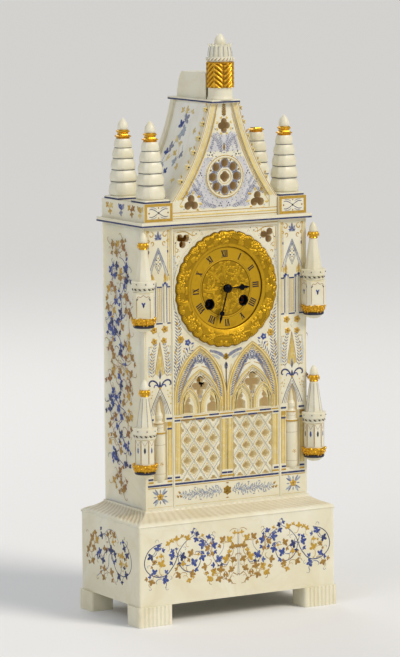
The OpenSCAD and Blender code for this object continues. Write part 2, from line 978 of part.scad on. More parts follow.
// A winding arbor with its square end behind the dial.
module winding_arbor(side) {
    at = [side * wind_x, -wind_z];
    color(steel)
    on_dial() {
        disc(at, 2, plate_y - 2, rear_y + 3);
        disc(at, 5.5, plate_y + plate_t + 5, plate_y + plate_t + 16);
        translate([at[0] - 1.4, dial_y + 1.4, at[1] - 1.4])
        cube([2.8, plate_y - dial_y - 3, 2.8]);
    }
}

// The second wheel of the going train.
module second_wheel() {
    color(brass)
    on_dial() {
        disc(second_at, 0.8, plate_y, rear_y + plate_t);
        gear(second_at, second_pinion_z, great_m, plate_y + plate_t + 0.7, plate_y + plate_t + 3,
             turn = mesh(barrel_at, great_z, 0, second_at, second_pinion_z));
        gear(second_at, second_z, second_m, rear_y - 7.4, rear_y - 6.4);
    }
}

// The centre arbor with its pinion and wheel; it carries the cannon pinion.
module centre_wheel() {
    color(brass)
    on_dial() {
        disc([0, 0], 0.75, dial_y - 4, plate_y - 0.3);
        disc([0, 0], 1.2, plate_y - 0.3, rear_y + plate_t);
        gear([0, 0], centre_pinion_z, second_m, rear_y - 8, rear_y - 6,
             turn = mesh(second_at, second_z, 0, [0, 0], centre_pinion_z));
        gear([0, 0], centre_z, centre_m, rear_y - 3.5, rear_y - 2.5);
    }
}

// The third wheel of the going train.
module third_wheel() {
    color(brass)
    on_dial() {
        disc(third_at, fast_arbor_r, plate_y, rear_y + plate_t);
        gear(third_at, third_pinion_z, centre_m, rear_y - 4, rear_y - 2,
             turn = mesh([0, 0], centre_z, 0, third_at, third_pinion_z));
        gear(third_at, third_z, third_m, rear_y - 11, rear_y - 10);
    }
}

// The escape wheel with thirty pointed teeth.
module escape_wheel() {
    color(brass)
    on_dial() {
        disc(escape_at, fast_arbor_r, plate_y, rear_y + plate_t);
        gear(escape_at, escape_pinion_z, third_m, rear_y - 12, rear_y - 9,
             turn = mesh(third_at, third_z, 0, escape_at, escape_pinion_z));
        translate([escape_at[0], rear_y - 17, escape_at[1]])
        rotate([90, 0, 0])
        linear_extrude(1)
        difference() {
            polygon([for (i = [0:29], k = [0:1])
                let (a = i * 12 + k * 3.4, r = k == 0 ? 6.2 : 8)
                [r * cos(a), r * sin(a)]]);
            for (a = [0:60:300]) {
                rotate(a)
                translate([3.6, 0])
                circle(r = 1.2);
            }
        }
    }
}

// The pallets on their arbor and the crutch that drives the pendulum.
module pallets() {
    color(steel) {
        on_dial() {
            disc(pallet_at, 0.8, plate_y, rear_y + 5.4);
            translate([0, rear_y - 16.8, pallet_at[1]])
            rotate([90, 0, 0])
            linear_extrude(1.4) {
                circle(r = 2.4);
                polygon([[-2, 1], [2, 1], [10.2, -4.4], [9.4, -8.4], [8.4, -8.2], [8.4, -5],
                         [1, -1.8], [-1, -1.8], [-8.4, -5], [-8.4, -8.2], [-9.4, -8.4],
                         [-10.2, -4.4]]);
            }
        }
        translate([pivot_x, 0, pivot_z]) {
            disc([0, 0], 2, rear_y + 4.5, rear_y + 5.4);
            translate([-1, rear_y + 4.5, -24])
            cube([2, 0.9, 24]);
            for (s = [-1, 1]) {
                translate([s * 1.8 - 0.5, rear_y + 4.5, -25])
                cube([1, 5.6, 2]);
            }
            translate([-2.3, rear_y + 4.5, -25])
            cube([4.6, 0.9, 2]);
        }
    }
}

// The cock behind the rear plate, with the pin the pendulum hangs on.
module pendulum_cock() {
    y = rear_y + plate_t;
    color(brass)
    on_dial() {
        for (s = [-1, 1]) {
            translate([s * 9 - 2, y, pallet_at[1] - 3])
            cube([4, 4.4, 6]);
        }
        translate([-11, y + 3.8, pallet_at[1] - 3])
        cube([22, 0.8, 8]);
        disc(pallet_at, 0.8, y + 4.5, y + 7.8);
        disc(pallet_at, 1.6, y + 7.6, y + 8.4);
    }
}

// The pendulum rod with the eye it hangs by and the nut under the bob.
module pendulum_rod() {
    y = rear_y + plate_t + 6.2;
    color(steel)
    translate([pivot_x, y, pivot_z])
    difference() {
        union() {
            rotate([90, 0, 0])
            cylinder(r = 2.2, h = 2.4, center = true);
            translate([0, 0, -pendulum_l - bob_r - 5])
            cylinder(r = 0.9, h = pendulum_l + bob_r + 3.5);
            translate([0, 0, -pendulum_l - bob_r - 2.7])
            cylinder(r = 2.6, h = 2.6);
        }
        rotate([90, 0, 0])
        cylinder(r = 0.8 + fit, h = 6, center = true);
    }
}

// The lens-shaped bob, resting on the nut.
module pendulum_bob() {
    y = rear_y + plate_t + 6.2;
    color(brass)
    translate([pivot_x, y, pivot_z - pendulum_l])
    difference() {
        rotate([90, 0, 0])
        rotate_extrude()
        polygon([[0, -4.2], [6, -3.9], [12, -2.6], [bob_r, -0.5], [bob_r, 0.5], [12, 2.6],
                 [6, 3.9], [0, 4.2]]);
        translate([0, 0, -bob_r - 1])
        cylinder(r = 0.9 + fit, h = 2 * bob_r + 2);
    }
}

// The bell behind the pendulum, its mouth to the front.
module bell() {
    y = rear_y + 29;
    k = bell_r / 30.2;
    color(brass)
    on_dial()
    turned([0, 0], y)
    polygon([[1.6, 0], [8 * k, 0.3], [16 * k, 1.6], [22 * k, 4], [26 * k, 7.6], [28.4 * k, 11],
             [bell_r, 14.6], [bell_r - 1.2, 14.9], [27 * k, 11.4], [24.8 * k, 8.4],
             [21.2 * k, 5.4], [15.6 * k, 3.1], [7.8 * k, 1.8], [1.6, 1.5]]);
}

// The stand of the bell, from the foot of the rear plate round to its crown.
module bell_stand() {
    y = rear_y + 29;
    color(steel)
    on_dial() {
        rotate([0, 42, 0]) {
            disc([0, -bell_r - 3.2], 1.5, rear_y + plate_t, y + 3);
            translate([-3, y + 0.05, -bell_r - 4.8])
            cube([6, 1.6, bell_r + 7.8]);
        }
        disc([0, 0], 1.5, y - 3.6, y + 1);
        disc([0, 0], 3.2, y - 3.6, y - 1.55);
    }
}

// The hammer on its arbor, its head just clear of the bell.
module hammer() {
    head = [-0.7072 * (bell_r + 4), 0.7072 * (bell_r + 4)];
    l = norm(head - hammer_at);
    a = atan2(head[0] - hammer_at[0], head[1] - hammer_at[1]);
    y = rear_y + 17.5;
    color(steel)
    on_dial() {
        disc(hammer_at, 0.8, plate_y, y + 1);
        disc(hammer_at, 2, y - 1, y + 1);
        translate([hammer_at[0], y - 0.6, hammer_at[1]])
        rotate([0, a, 0])
        translate([-0.7, 0, 0])
        cube([1.4, 1.2, l]);
        disc(head, 3, y - 3, y + 3);
    }
}

// The two straps that draw the bezel and the rear ring together.
module straps() {
    color(brass)
    on_dial()
    for (s = [0, 180]) {
        rotate([0, -strap_a - s, 0]) {
            translate([strap_r, body_front + 3.6, -4])
            cube([1.4, ring_y - body_front - 13.6, 8]);
            difference() {
                translate([strap_r - 1.6, ring_y - 10.2, -3.6])
                cube([3, 10.2, 7.2]);
                disc([strap_r - 0.2, 0], 1.1, ring_y - 9, ring_y + 1);
            }
        }
    }
}

// The screws through the rear ring into the straps.
module strap_screws() {
    color(steel)
    on_dial()
    for (s = [0, 180]) {
        rotate([0, -strap_a - s, 0]) {
            disc([strap_r - 0.2, 0], 1.1, ring_y - 8, ring_y + 1.2);
            disc([strap_r - 0.2, 0], 2, ring_y + 1, ring_y + 2.1);
        }
    }
}

// The ring on the back of the case, with the lugs of the door hinge.
module rear_ring() {
    color(brass) {
        difference() {
            translate([0, 0, dial_z])
            turned([0, 0], 0)
            polygon([[door_r - 3, -ring_y], [door_r - 3, -ring_y - 2.2],
                     [opening_r + 6, -ring_y - 2.2], [opening_r + 7, -ring_y - 1.4],
                     [opening_r + 7, -ring_y], [opening_r - 0.3, -ring_y],
                     [opening_r - 0.3, -ring_y + 6], [opening_r - 1.7, -ring_y + 6],
                     [opening_r - 1.7, -ring_y]]);
            on_dial()
            for (s = [0, 180]) {
                rotate([0, -strap_a - s, 0]) {
                    disc([strap_r - 0.2, 0], 1.2, ring_y - 1, ring_y + 3);
                    disc([strap_r - 0.2, 0], 2.1, ring_y + 1, ring_y + 3);
                }
            }
        }
        for (s = [-1, 1]) {
            translate([hinge_x, 0, dial_z + s * 5 - 2]) {
                difference() {
                    union() {
                        translate([0, hinge_y, 0])
                        cylinder(r = 1.6, h = 4);
                        translate([-0.2, ring_y + 2, 0])
                        cube([1.8, hinge_y - ring_y - 2, 4]);
                    }
                    translate([0, hinge_y, -1])
                    cylinder(r = 0.7, h = 6);
                }
            }
        }
        translate([hinge_x, hinge_y, dial_z - 7.2])
        cylinder(r = 0.7, h = 14.4);
    }
}

// The round door over the rear ring, with its knob.
module rear_door() {
    color(brass)
    difference() {
        union() {
            translate([0, 0, dial_z])
            turned([0, 0], 0)
            polygon([[0, -ring_y - 2.6], [door_r, -ring_y - 2.6], [door_r, -ring_y - 3.4],
                     [door_r - 2.4, -ring_y - 4], [0, -ring_y - 4]]);
            translate([hinge_x, hinge_y, dial_z - 2.8])
            cylinder(r = 1.6, h = 5.6);
            translate([door_r - 4, ring_y + 2.6, dial_z - 2.8])
            cube([hinge_x - door_r + 4, 1.3, 5.6]);
            translate([0, 0, dial_z])
            turned([-35, 0], 0)
            polygon([[0, -ring_y - 3.9], [1.2, -ring_y - 3.9], [1.2, -ring_y - 6],
                     [2.4, -ring_y - 7], [2.4, -ring_y - 8.6], [1.4, -ring_y - 9.4],
                     [0, -ring_y - 9.5]]);
        }
        translate([hinge_x, hinge_y, dial_z - 10])
        cylinder(r = 0.7 + fit, h = 20);
    }
}

foot(-1, -1);  // foot_front_left
foot(1, -1);  // foot_front_right
foot(-1, 1);  // foot_rear_left
foot(1, 1);  // foot_rear_right
base_block();
base_moulding();
front_panel();
side_panel(-1);  // side_panel_left
side_panel(1);  // side_panel_right
back_panel();
cornice();
parapet(-1);  // parapet_left
parapet(1);  // parapet_right
gable_front();
gable_rear();
roof_side(-1);  // roof_left
roof_side(1);  // roof_right
cap_slab();
ridge_block();
finial_column();
finial_crown();
pinnacle(-1, -1);  // pinnacle_front_left
pinnacle(1, -1);  // pinnacle_front_right
pinnacle(-1, 1);  // pinnacle_rear_left
pinnacle(1, 1);  // pinnacle_rear_right
pinnacle_buds();
turret(-1, string_z + turret_high, true);  // turret_upper_left
turret(1, string_z + turret_high, true);  // turret_upper_right
turret(-1, turret_low, false);  // turret_lower_left
turret(1, turret_low, false);  // turret_lower_right
bezel();
dial_plate();
hour_hand();
minute_hand();
hand_collet();
cannon_pinion();
minute_wheel();
hour_wheel();
plate_front();
plate_rear();
plate_pillars();
barrel(1);  // going_barrel
barrel(-1);  // strike_barrel
winding_arbor(1);  // winding_arbor_going
winding_arbor(-1);  // winding_arbor_strike
second_wheel();
centre_wheel();
third_wheel();
escape_wheel();
pallets();
pendulum_cock();
pendulum_rod();
pendulum_bob();
bell();
bell_stand();
hammer();
straps();
strap_screws();
rear_ring();
rear_door();
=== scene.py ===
import bpy
import json
import math
import random
from mathutils import Matrix, Vector, noise


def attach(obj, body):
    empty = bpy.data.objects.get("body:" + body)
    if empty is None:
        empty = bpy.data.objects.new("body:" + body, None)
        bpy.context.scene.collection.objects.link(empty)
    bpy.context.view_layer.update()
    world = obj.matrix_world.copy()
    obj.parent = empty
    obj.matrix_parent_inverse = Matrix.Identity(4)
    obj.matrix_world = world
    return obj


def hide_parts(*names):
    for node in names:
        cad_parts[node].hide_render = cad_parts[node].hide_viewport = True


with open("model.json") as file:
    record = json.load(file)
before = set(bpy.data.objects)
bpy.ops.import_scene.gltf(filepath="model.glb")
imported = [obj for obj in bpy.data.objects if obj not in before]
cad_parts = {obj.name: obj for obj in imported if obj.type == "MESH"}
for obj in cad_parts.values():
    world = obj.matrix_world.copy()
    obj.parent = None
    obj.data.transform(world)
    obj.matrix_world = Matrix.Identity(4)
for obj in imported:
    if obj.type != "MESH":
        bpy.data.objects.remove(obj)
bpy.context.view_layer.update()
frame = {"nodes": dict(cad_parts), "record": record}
scene = bpy.context.scene
mm = 0.001
case = "case"

# sRGB colours, read off the lit parts of the object
colours = {
    "stone": "#E6E1CB", "stoneLitPale": "#F0EEE4", "stoneWarm": "#D9D0AC", "stoneVein": "#C9B98F",
    "stoneDeep": "#A98D5A", "paintedLitThroughPale": "#D6C8A0", "paintedLitThrough": "#AE9469",
    "blue": "#2C4088", "navy": "#1E2A5E", "lilac": "#7F8398", "paleBlue": "#9DA8B6",
    "haze": "#CBC9CB", "ink": "#191A2C", "shellGold": "#C49B36", "straw": "#D9BE6A",
    "umber": "#9E7833", "russet": "#94652C", "wash": "#E0CB86", "enamel": "#24160C",
    "leafGold": "#E3B038", "leafShade": "#8A5A16", "gilt": "#CBA128", "giltDark": "#6B4E10",
    "brass": "#C6A35A", "brassDull": "#8E6E34", "blued": "#16171F", "bluedDeep": "#08080C",
    "floor": "#ECEBE9", "sky": "#E9EDF2", "backdrop": "#E2E2E1", "white": "#FFFFFF",
    "warmLight": "#FFF8EE", "coolLight": "#F2F4FF",
}
# the hollow slopes of gable and roof: where their arc has its middle, and its radius, in mm
slope = {"x": 236.6, "z": 543.1, "radius": 225}


def tone(name):
    code = colours[name]
    rgb = [int(code[i:i + 2], 16) / 255 for i in (1, 3, 5)]
    return tuple(c / 12.92 if c <= 0.04045 else ((c + 0.055) / 1.055) ** 2.4 for c in rgb) + (1.0,)


# materials
def newMaterial(name):
    material = bpy.data.materials.new(name)
    material.use_nodes = True
    tree = material.node_tree
    return material, tree, tree.nodes["Principled BSDF"]


def addNode(tree, kind, values=None, links=None, **settings):
    prefix = "" if "Node" in kind else ("GeometryNode" if tree.type == "GEOMETRY" else "ShaderNode")
    node = tree.nodes.new(prefix + kind)
    for key, value in settings.items():
        setattr(node, key, value)
    for key, value in (values or {}).items():
        node.inputs[key].default_value = value
    for key, source in (links or {}).items():
        tree.links.new(source, node.inputs[key])
    return node


def noiseAt(tree, size, detail=3.0, rough=0.55, distort=0.0):
    # a noise whose blotches are about size millimetres wide
    where = addNode(tree, "TexCoord").outputs["Object"]
    return addNode(tree, "TexNoise", {"Scale": 1000 / size, "Detail": detail, "Roughness": rough,
                                      "Distortion": distort}, {"Vector": where}).outputs["Fac"]


def spread(tree, source, low, high, to=(0.0, 1.0)):
    return addNode(tree, "MapRange", {"From Min": low, "From Max": high, "To Min": to[0],
                                      "To Max": to[1]}, {"Value": source}).outputs["Result"]


def mixed(tree, factor, first, second):
    node = addNode(tree, "Mix", data_type="RGBA")
    for key, value in (("Factor", factor), (6, first), (7, second)):
        if isinstance(value, (int, float, tuple)):
            node.inputs[key].default_value = value
        else:
            tree.links.new(value, node.inputs[key])
    return node.outputs[2]


def roughen(tree, shader, source, strength, depth):
    bump = addNode(tree, "Bump", {"Strength": strength, "Distance": depth * mm}, {"Height": source})
    tree.links.new(bump.outputs["Normal"], shader.inputs["Normal"])


def depthMask(tree, axis, start, end):
    # 0 to 1 between two places in mm, read from the middle along an axis or into the hollow slope
    spot = addNode(tree, "TexCoord").outputs["Object"]
    even = addNode(tree, "VectorMath", {}, {0: spot}, operation="ABSOLUTE").outputs[0]
    if axis == "slope":
        flat = addNode(tree, "VectorMath", {1: (1, 0, 1)}, {0: even}, operation="MULTIPLY").outputs[0]
        middle = (slope["x"] * mm, 0, slope["z"] * mm)
        far = addNode(tree, "VectorMath", {1: middle}, {0: flat}, operation="DISTANCE")
        source = far.outputs["Value"]
    else:
        source = addNode(tree, "SeparateXYZ", {}, {0: even}).outputs[axis]
    return spread(tree, source, start * mm, end * mm)


# clouds, veins, grain and surface are sizes in mm; thin walls let much more light through
# the glow strength and two heights in m set the painted light on the inner faces: pale below the first,
# brown above the second
stoneLook = {"clouds": 55, "veins": 60, "grain": 7, "surface": 9, "roughness": 0.36, "specular": 0.42,
             "soak": 3.2, "soakShare": 0.22, "thinSoak": 16, "thinSoakShare": 0.85,
             "soakTint": (1.0, 0.82, 0.55), "paintedGlow": 0.22, "litBelow": 0.19, "shadedAbove": 0.35}


def polishedAlabaster(name, within=(), thin=False, aged=False, light="stone", cloudy="stoneWarm"):
    # carved, rubbed down and waxed: cloudy, faintly veined, light sinks in a few millimetres;
    # within: where the stone is cut or hollowed, its inner faces are painted with light, a warm brown
    # colour and a faint glow for light soaked through the walls
    look = stoneLook
    material, tree, shader = newMaterial(name)
    cloud = spread(tree, noiseAt(tree, look["clouds"], 4, 0.6, 0.8), 0.38, 0.72, (0.0, 0.75))
    body = mixed(tree, cloud, tone(light), tone(cloudy))
    band = noiseAt(tree, look["veins"], 3, 0.5, 1.2)
    line = addNode(tree, "Math", {1: 0.5}, {0: band}, operation="SUBTRACT").outputs[0]
    line = addNode(tree, "Math", {}, {0: line}, operation="ABSOLUTE").outputs[0]
    body = mixed(tree, spread(tree, line, 0.0, 0.05, (0.14, 0.0)), body, tone("stoneVein"))
    if within:
        paintedLitThrough = depthMask(tree, *within[0])
        for more in within[1:]:
            both = {0: paintedLitThrough, 1: depthMask(tree, *more)}
            paintedLitThrough = addNode(tree, "Math", {}, both, operation="MULTIPLY").outputs[0]
        # painted light and shade inside: paler low down, where light comes in through the lattice, browner
        # higher up under the roof
        spot = addNode(tree, "TexCoord").outputs["Object"]
        height = addNode(tree, "SeparateXYZ", {}, {0: spot}).outputs["Z"]
        litToShaded = spread(tree, height, look["litBelow"], look["shadedAbove"])
        inner = mixed(tree, litToShaded, tone("paintedLitThroughPale"), tone("paintedLitThrough"))
        body = mixed(tree, paintedLitThrough, body, inner)
        # painted light: the inner faces glow faintly in the same colour
        tree.links.new(inner, shader.inputs["Emission Color"])
        tree.links.new(spread(tree, paintedLitThrough, 0, 1, (0.0, look["paintedGlow"])), shader.inputs["Emission Strength"])
    if aged:
        # darker brown where the relief attribute is low, in the grooves and over the band of the gadroons
        hollow = addNode(tree, "Attribute", attribute_name="relief").outputs["Fac"]
        body = mixed(tree, spread(tree, hollow, 0.0, 0.9), tone("stoneDeep"), body)
    tree.links.new(body, shader.inputs["Base Color"])
    rough = look["roughness"]
    tree.links.new(spread(tree, noiseAt(tree, look["grain"], 4, 0.6), 0.3, 0.7,
                          (rough - 0.07, rough + 0.1)),
                   shader.inputs["Roughness"])
    shader.inputs["Specular IOR Level"].default_value = look["specular"]
    shader.inputs["Subsurface Weight"].default_value = look["thinSoakShare" if thin else "soakShare"]
    shader.inputs["Subsurface Radius"].default_value = look["soakTint"]
    shader.inputs["Subsurface Scale"].default_value = look["thinSoak" if thin else "soak"] * mm
    roughen(tree, shader, noiseAt(tree, look["surface"], 5, 0.65), 0.35, 0.25)
    return material


def brushedPaint(name, paint, under, worn=0.5, rough=0.5, metal=0.0, patch=2.6):
    # thin hand-laid distemper or shell gold that the stone shows through where it is rubbed;
    # patch: size in mm of the rubbed places
    material, tree, shader = newMaterial(name)
    rub = spread(tree, noiseAt(tree, patch, 4, 0.7), 0.5, 0.72, (0.0, worn))
    thick = spread(tree, noiseAt(tree, 11, 2, 0.5), 0.35, 0.65, (0.0, 0.35))
    full = tuple(0.62 * c for c in tone(paint)[:3]) + (1.0,)
    body = mixed(tree, rub, mixed(tree, thick, tone(paint), full), tone(under))
    tree.links.new(body, shader.inputs["Base Color"])
    shader.inputs["Metallic"].default_value = metal
    shader.inputs["Roughness"].default_value = rough
    roughen(tree, shader, noiseAt(tree, 1.6, 3, 0.6), 0.25, 0.12)
    return material


def burnishedLeaf(name, light, deep, rough, grain, dark, shadedHollows=False):
    # metal leaf, gilding or polished metal: bright where rubbed, brown where dirt and wear collect;
    # on gilt relief, painted shade and highlight: darker in the hollows and round the motifs, brighter on
    # the tops, as the relief attribute marks
    material, tree, shader = newMaterial(name)
    dirt = spread(tree, noiseAt(tree, grain, 5, 0.65), 0.5, 0.74, (0.0, dark))
    body = mixed(tree, dirt, tone(light), tone(deep))
    if shadedHollows:
        height = addNode(tree, "Attribute", attribute_name="relief").outputs["Fac"]
        body = mixed(tree, spread(tree, height, 0.0, 0.9, (0.1, 1.0)), tone(deep), body)
    tree.links.new(body, shader.inputs["Base Color"])
    shader.inputs["Metallic"].default_value = 1.0
    tree.links.new(spread(tree, noiseAt(tree, grain * 2, 3, 0.6), 0.3, 0.7, (rough, rough + 0.2)),
                   shader.inputs["Roughness"])
    roughen(tree, shader, noiseAt(tree, grain * 0.5, 4, 0.7), 0.35, 0.2)
    return material


finish = {
    "alabaster": polishedAlabaster("alabaster_carved_waxed"),
    "aged": polishedAlabaster("alabaster_gadrooned_waxed", aged=True),
    # the pierced, fretted and hollow finishes carry painted light and a faint glow on their inner faces
    "pierced": polishedAlabaster("alabaster_pierced_waxed", (("Y", 36.7, 36.0), ("X", 89, 87.5))),
    "fretted": polishedAlabaster("alabaster_fretted_waxed", (("Y", 35.7, 35.0), ("slope", 228, 230))),
    "hollowSide": polishedAlabaster("alabaster_hollow_side", (("X", 84.5, 83.2),), True),
    "hollowBack": polishedAlabaster("alabaster_hollow_back", (("Y", 36.5, 35.2),), True),
    "hollowGable": polishedAlabaster("alabaster_hollow_gable", (("Y", 34.5, 33.2), ("slope", 228, 230))),
    # painted light: the roof sides take a paler stone, so that they read brighter
    "hollowRoof": polishedAlabaster("alabaster_hollow_roof", (("slope", 232.4, 233.6),),
                                    light="stoneLitPale", cloudy="stone"),
    "blue": brushedPaint("distemper_ultramarine", "blue", "paleBlue", 0.55),
    "navy": brushedPaint("distemper_deep_blue", "navy", "lilac"),
    "lilac": brushedPaint("distemper_lilac_wash", "lilac", "stone", 0.5, 0.6),
    "paleBlue": brushedPaint("distemper_pale_blue", "paleBlue", "stone", 0.6, 0.6),
    "haze": brushedPaint("distemper_pale_lilac_ground", "haze", "stone", 0.7, 0.6, 0, 8),
    "ink": brushedPaint("distemper_blue_black", "ink", "navy", 0.3),
    "gold": brushedPaint("shell_gold_painted", "shellGold", "straw", 0.5, 0.38, 0.35),
    "straw": brushedPaint("shell_gold_thin", "straw", "stone", 0.7, 0.45, 0.2),
    "wash": brushedPaint("ochre_wash_pale", "wash", "stone", 0.5, 0.6, 0, 6),
    "umber": brushedPaint("shell_gold_browned", "umber", "shellGold", 0.6, 0.45, 0.15),
    "russet": brushedPaint("umber_glaze", "russet", "umber", 0.6),
    "enamel": brushedPaint("wax_filled_black", "enamel", "giltDark", 0.15, 0.4),
    "leaf": burnishedLeaf("gold_leaf_burnished", "leafGold", "leafShade", 0.24, 2.6, 0.8),
    "leafCarved": burnishedLeaf("gold_leaf_on_carving", "leafGold", "leafShade", 0.26, 2.6, 0.5, True),
    "gilt": burnishedLeaf("brass_stamped_gilt", "gilt", "giltDark", 0.3, 5.0, 0.5),
    "giltFlat": burnishedLeaf("brass_gilt_chased", "gilt", "giltDark", 0.4, 9.0, 0.3, True),
    "brass": burnishedLeaf("brass_rolled_lacquered", "brass", "brassDull", 0.3, 12, 0.3),
    "blued": burnishedLeaf("steel_blued_polished", "blued", "bluedDeep", 0.25, 6, 0.4),
}
finishOf = {"alabaster": "alabaster", "gilt_brass": "gilt", "gilded_alabaster": "leaf",
            "brass": "brass", "blued_steel": "blued"}


print("materials ready")


def dressNode(node, key):
    # a carried-over solid keeps its mesh and takes a finish
    item = frame["nodes"][node]
    if not item.data.materials:
        item.data.materials.append(finish[key])
    for slot in item.material_slots:
        slot.link = "OBJECT"
        slot.material = finish[key]


ownFinish = {"front_panel": "pierced", "gable_front": "fretted", "side_panel_left": "hollowSide",
             "side_panel_right": "hollowSide", "back_panel": "hollowBack", "gable_rear": "hollowGable",
             "roof_left": "hollowRoof", "roof_right": "hollowRoof"}


for entry in frame["record"]["subparts"]:
    dressNode(entry["node"], ownFinish.get(entry["node"], finishOf[entry["material_slot"]]))


# meshes in the making: corners in mm, faces, and the finish that each face takes
def newForm():
    return {"verts": [], "faces": [], "keys": [], "indices": []}


def addMesh(form, verts, faces, key):
    if key not in form["keys"]:
        form["keys"].append(key)
    start = len(form["verts"])
    form["verts"] += verts
    form["faces"] += [tuple(start + i for i in face) for face in faces]
    form["indices"] += [form["keys"].index(key)] * len(faces)


def makeMesh(name, form, place, smooth):
    mesh = bpy.data.meshes.new(name)
    mesh.from_pydata([Vector(place(*p)) * mm for p in form["verts"]], [], form["faces"])
    for key in form["keys"]:
        mesh.materials.append(finish[key])
    mesh.polygons.foreach_set("material_index", form["indices"])
    mesh.polygons.foreach_set("use_smooth", [smooth] * len(form["faces"]))
    mesh.update()
    return mesh


def setPiece(name, mesh, nodes=()):
    piece = bpy.data.objects.new(name, mesh)
    scene.collection.objects.link(piece)
    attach(piece, case)
    if nodes:
        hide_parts(*nodes)
    return piece


# painted and carved coats on a surface: u to the right, v up, h out of it, in mm
def newCoat(name, place, mirror=False):
    return dict(newForm(), name=name, place=place, mirror=mirror)


def addShape(coat, paint, verts, faces):
    addMesh(coat, verts, faces, paint)
    if coat["mirror"]:
        addMesh(coat, [(-u, v, h) for u, v, h in verts], [face[::-1] for face in faces], paint)


def finishCoat(coat):
    setPiece(coat["name"], makeMesh(coat["name"], coat, coat["place"], False))


def addCoat(form, coat):
    # lays a painted coat on a carved form
    start = len(form["verts"])
    form["verts"] += [coat["place"](*p) for p in coat["verts"]]
    form["faces"] += [tuple(start + i for i in face) for face in coat["faces"]]
    form["keys"] += [key for key in coat["keys"] if key not in form["keys"]]
    form["indices"] += [form["keys"].index(coat["keys"][i]) for i in coat["indices"]]


def addPatch(coat, paint, ring, crown=0.2, inset=0.6, middle=None):
    # a cushion-shaped dab: its rim is let into the stone and its middle stands proud
    count = len(ring)
    cu, cv = middle or (sum(p[0] for p in ring) / count, sum(p[1] for p in ring) / count)
    verts = [(u, v, -0.06) for u, v in ring]
    verts += [(cu + (u - cu) * inset, cv + (v - cv) * inset, crown) for u, v in ring]
    verts.append((cu, cv, crown * 1.15))
    faces = []
    for i in range(count):
        j = (i + 1) % count
        faces += [(i, j, count + j, count + i), (count + i, count + j, 2 * count)]
    addShape(coat, paint, verts, faces)


def addBlock(coat, paint, ring, height=0.1, foot=-0.06):
    # a flat layer with square edges
    count = len(ring)
    verts = [(u, v, foot) for u, v in ring] + [(u, v, height) for u, v in ring]
    faces = [(i, (i + 1) % count, count + (i + 1) % count, count + i) for i in range(count)]
    addShape(coat, paint, verts, faces + [tuple(range(count, 2 * count))])


def addBar(coat, paint, u0, v0, u1, v1, height=0.1):
    addBlock(coat, paint, [(u0, v0), (u1, v0), (u1, v1), (u0, v1)], height)


def smoothPath(points, steps=6):
    # a soft line through hand-set points
    path = []
    count = len(points)
    for i in range(count - 1):
        p0 = Vector(points[max(i - 1, 0)])
        p1 = Vector(points[i])
        p2 = Vector(points[i + 1])
        p3 = Vector(points[min(i + 2, count - 1)])
        for k in range(steps):
            t = k / steps
            path.append(0.5 * (2 * p1 + (p2 - p0) * t + (2 * p0 - 5 * p1 + 4 * p2 - p3) * t * t
                               + (3 * p1 - p0 - 3 * p2 + p3) * t ** 3))
    path.append(Vector(points[-1]))
    return path


def addStroke(coat, paint, points, width=1.0, crown=0.15, steps=6, taper=0.35):
    # a brush line that thins towards both ends
    path = smoothPath(points, steps) if steps else [Vector(p) for p in points]
    count = len(path)
    verts, faces = [], []
    for i, p in enumerate(path):
        ahead = path[min(i + 1, count - 1)] - path[max(i - 1, 0)]
        side = Vector((ahead.y, -ahead.x))
        side = side / (side.length or 1)
        t = i / (count - 1)
        w = width * (1 - taper + taper * min(1, 4 * t, 4 * (1 - t)))
        for k, h in ((-0.5, -0.06), (-0.25, crown), (0.25, crown), (0.5, -0.06)):
            q = p - side * (w * k)
            verts.append((q.x, q.y, h))
    for i in range(count - 1):
        for k in range(3):
            a = 4 * i + k
            faces.append((a, a + 4, a + 5, a + 1))
    faces += [(0, 1, 2, 3), (4 * count - 1, 4 * count - 2, 4 * count - 3, 4 * count - 4)]
    addShape(coat, paint, verts, faces)


def turned(ring, u, v, angle, size=1.0):
    c, s = math.cos(math.radians(angle)), math.sin(math.radians(angle))
    return [(u + size * (x * c - y * s), v + size * (x * s + y * c)) for x, y in ring]


def lobedRing(lobes, core, steps=30, sharp=1.6):
    # lobes: (direction in degrees, reach, half width in degrees)
    ring = []
    for i in range(steps):
        a = 360 * i / steps
        reach = core
        for direction, far, half in lobes:
            off = abs((a - direction + 180) % 360 - 180) / half
            if off < 1:
                reach = max(reach, core + (far - core) * (1 - off) ** sharp)
        ring.append((reach * math.cos(math.radians(a)), reach * math.sin(math.radians(a))))
    return ring


ivyRing = lobedRing([(0, 1.12, 40), (76, 1.04, 40), (-76, 1.04, 40), (146, 0.56, 24), (-146, 0.56, 24)],
                    0.34, 36, 0.62)


almond = [(0, 0), (0.2, -0.32), (0.45, -0.46), (0.72, -0.34), (1, 0), (0.72, 0.34), (0.45, 0.46),
          (0.2, 0.32)]


def addIvy(coat, paint, u, v, angle, size, crown=0.25):
    addPatch(coat, paint, turned(ivyRing, u, v, angle, size), crown, 0.6, (u, v))


def addSprig(coat, paint, u, v, angle, size):
    # a leaf on its curled stalk and a smaller one beside it
    hand = 1 if int(u + v) % 2 else -1
    addIvy(coat, paint, u, v, angle, size)
    stalk = [(-0.2, 0), (-0.9, 0.12 * hand), (-1.45, 0.5 * hand), (-1.6, 1.0 * hand), (-1.25, 1.25 * hand)]
    addStroke(coat, paint, turned(stalk, u, v, angle, size), 0.15 * size, 0.1, 3, 0.7)
    small = turned([(-0.15, -1.35 * hand)], u, v, angle, size)[0]
    addIvy(coat, paint, small[0], small[1], angle - 60 * hand, size * 0.6)


def addLeaf(coat, paint, u, v, angle, length, width=0.5, crown=0.2):
    ring = [(x, y * width) for x, y in almond]
    addPatch(coat, paint, turned(ring, u, v, angle, length), crown, 0.5)


def polar(radius, degrees, u=0.0, v=0.0):
    a = math.radians(degrees)
    return (u + radius * math.cos(a), v + radius * math.sin(a))


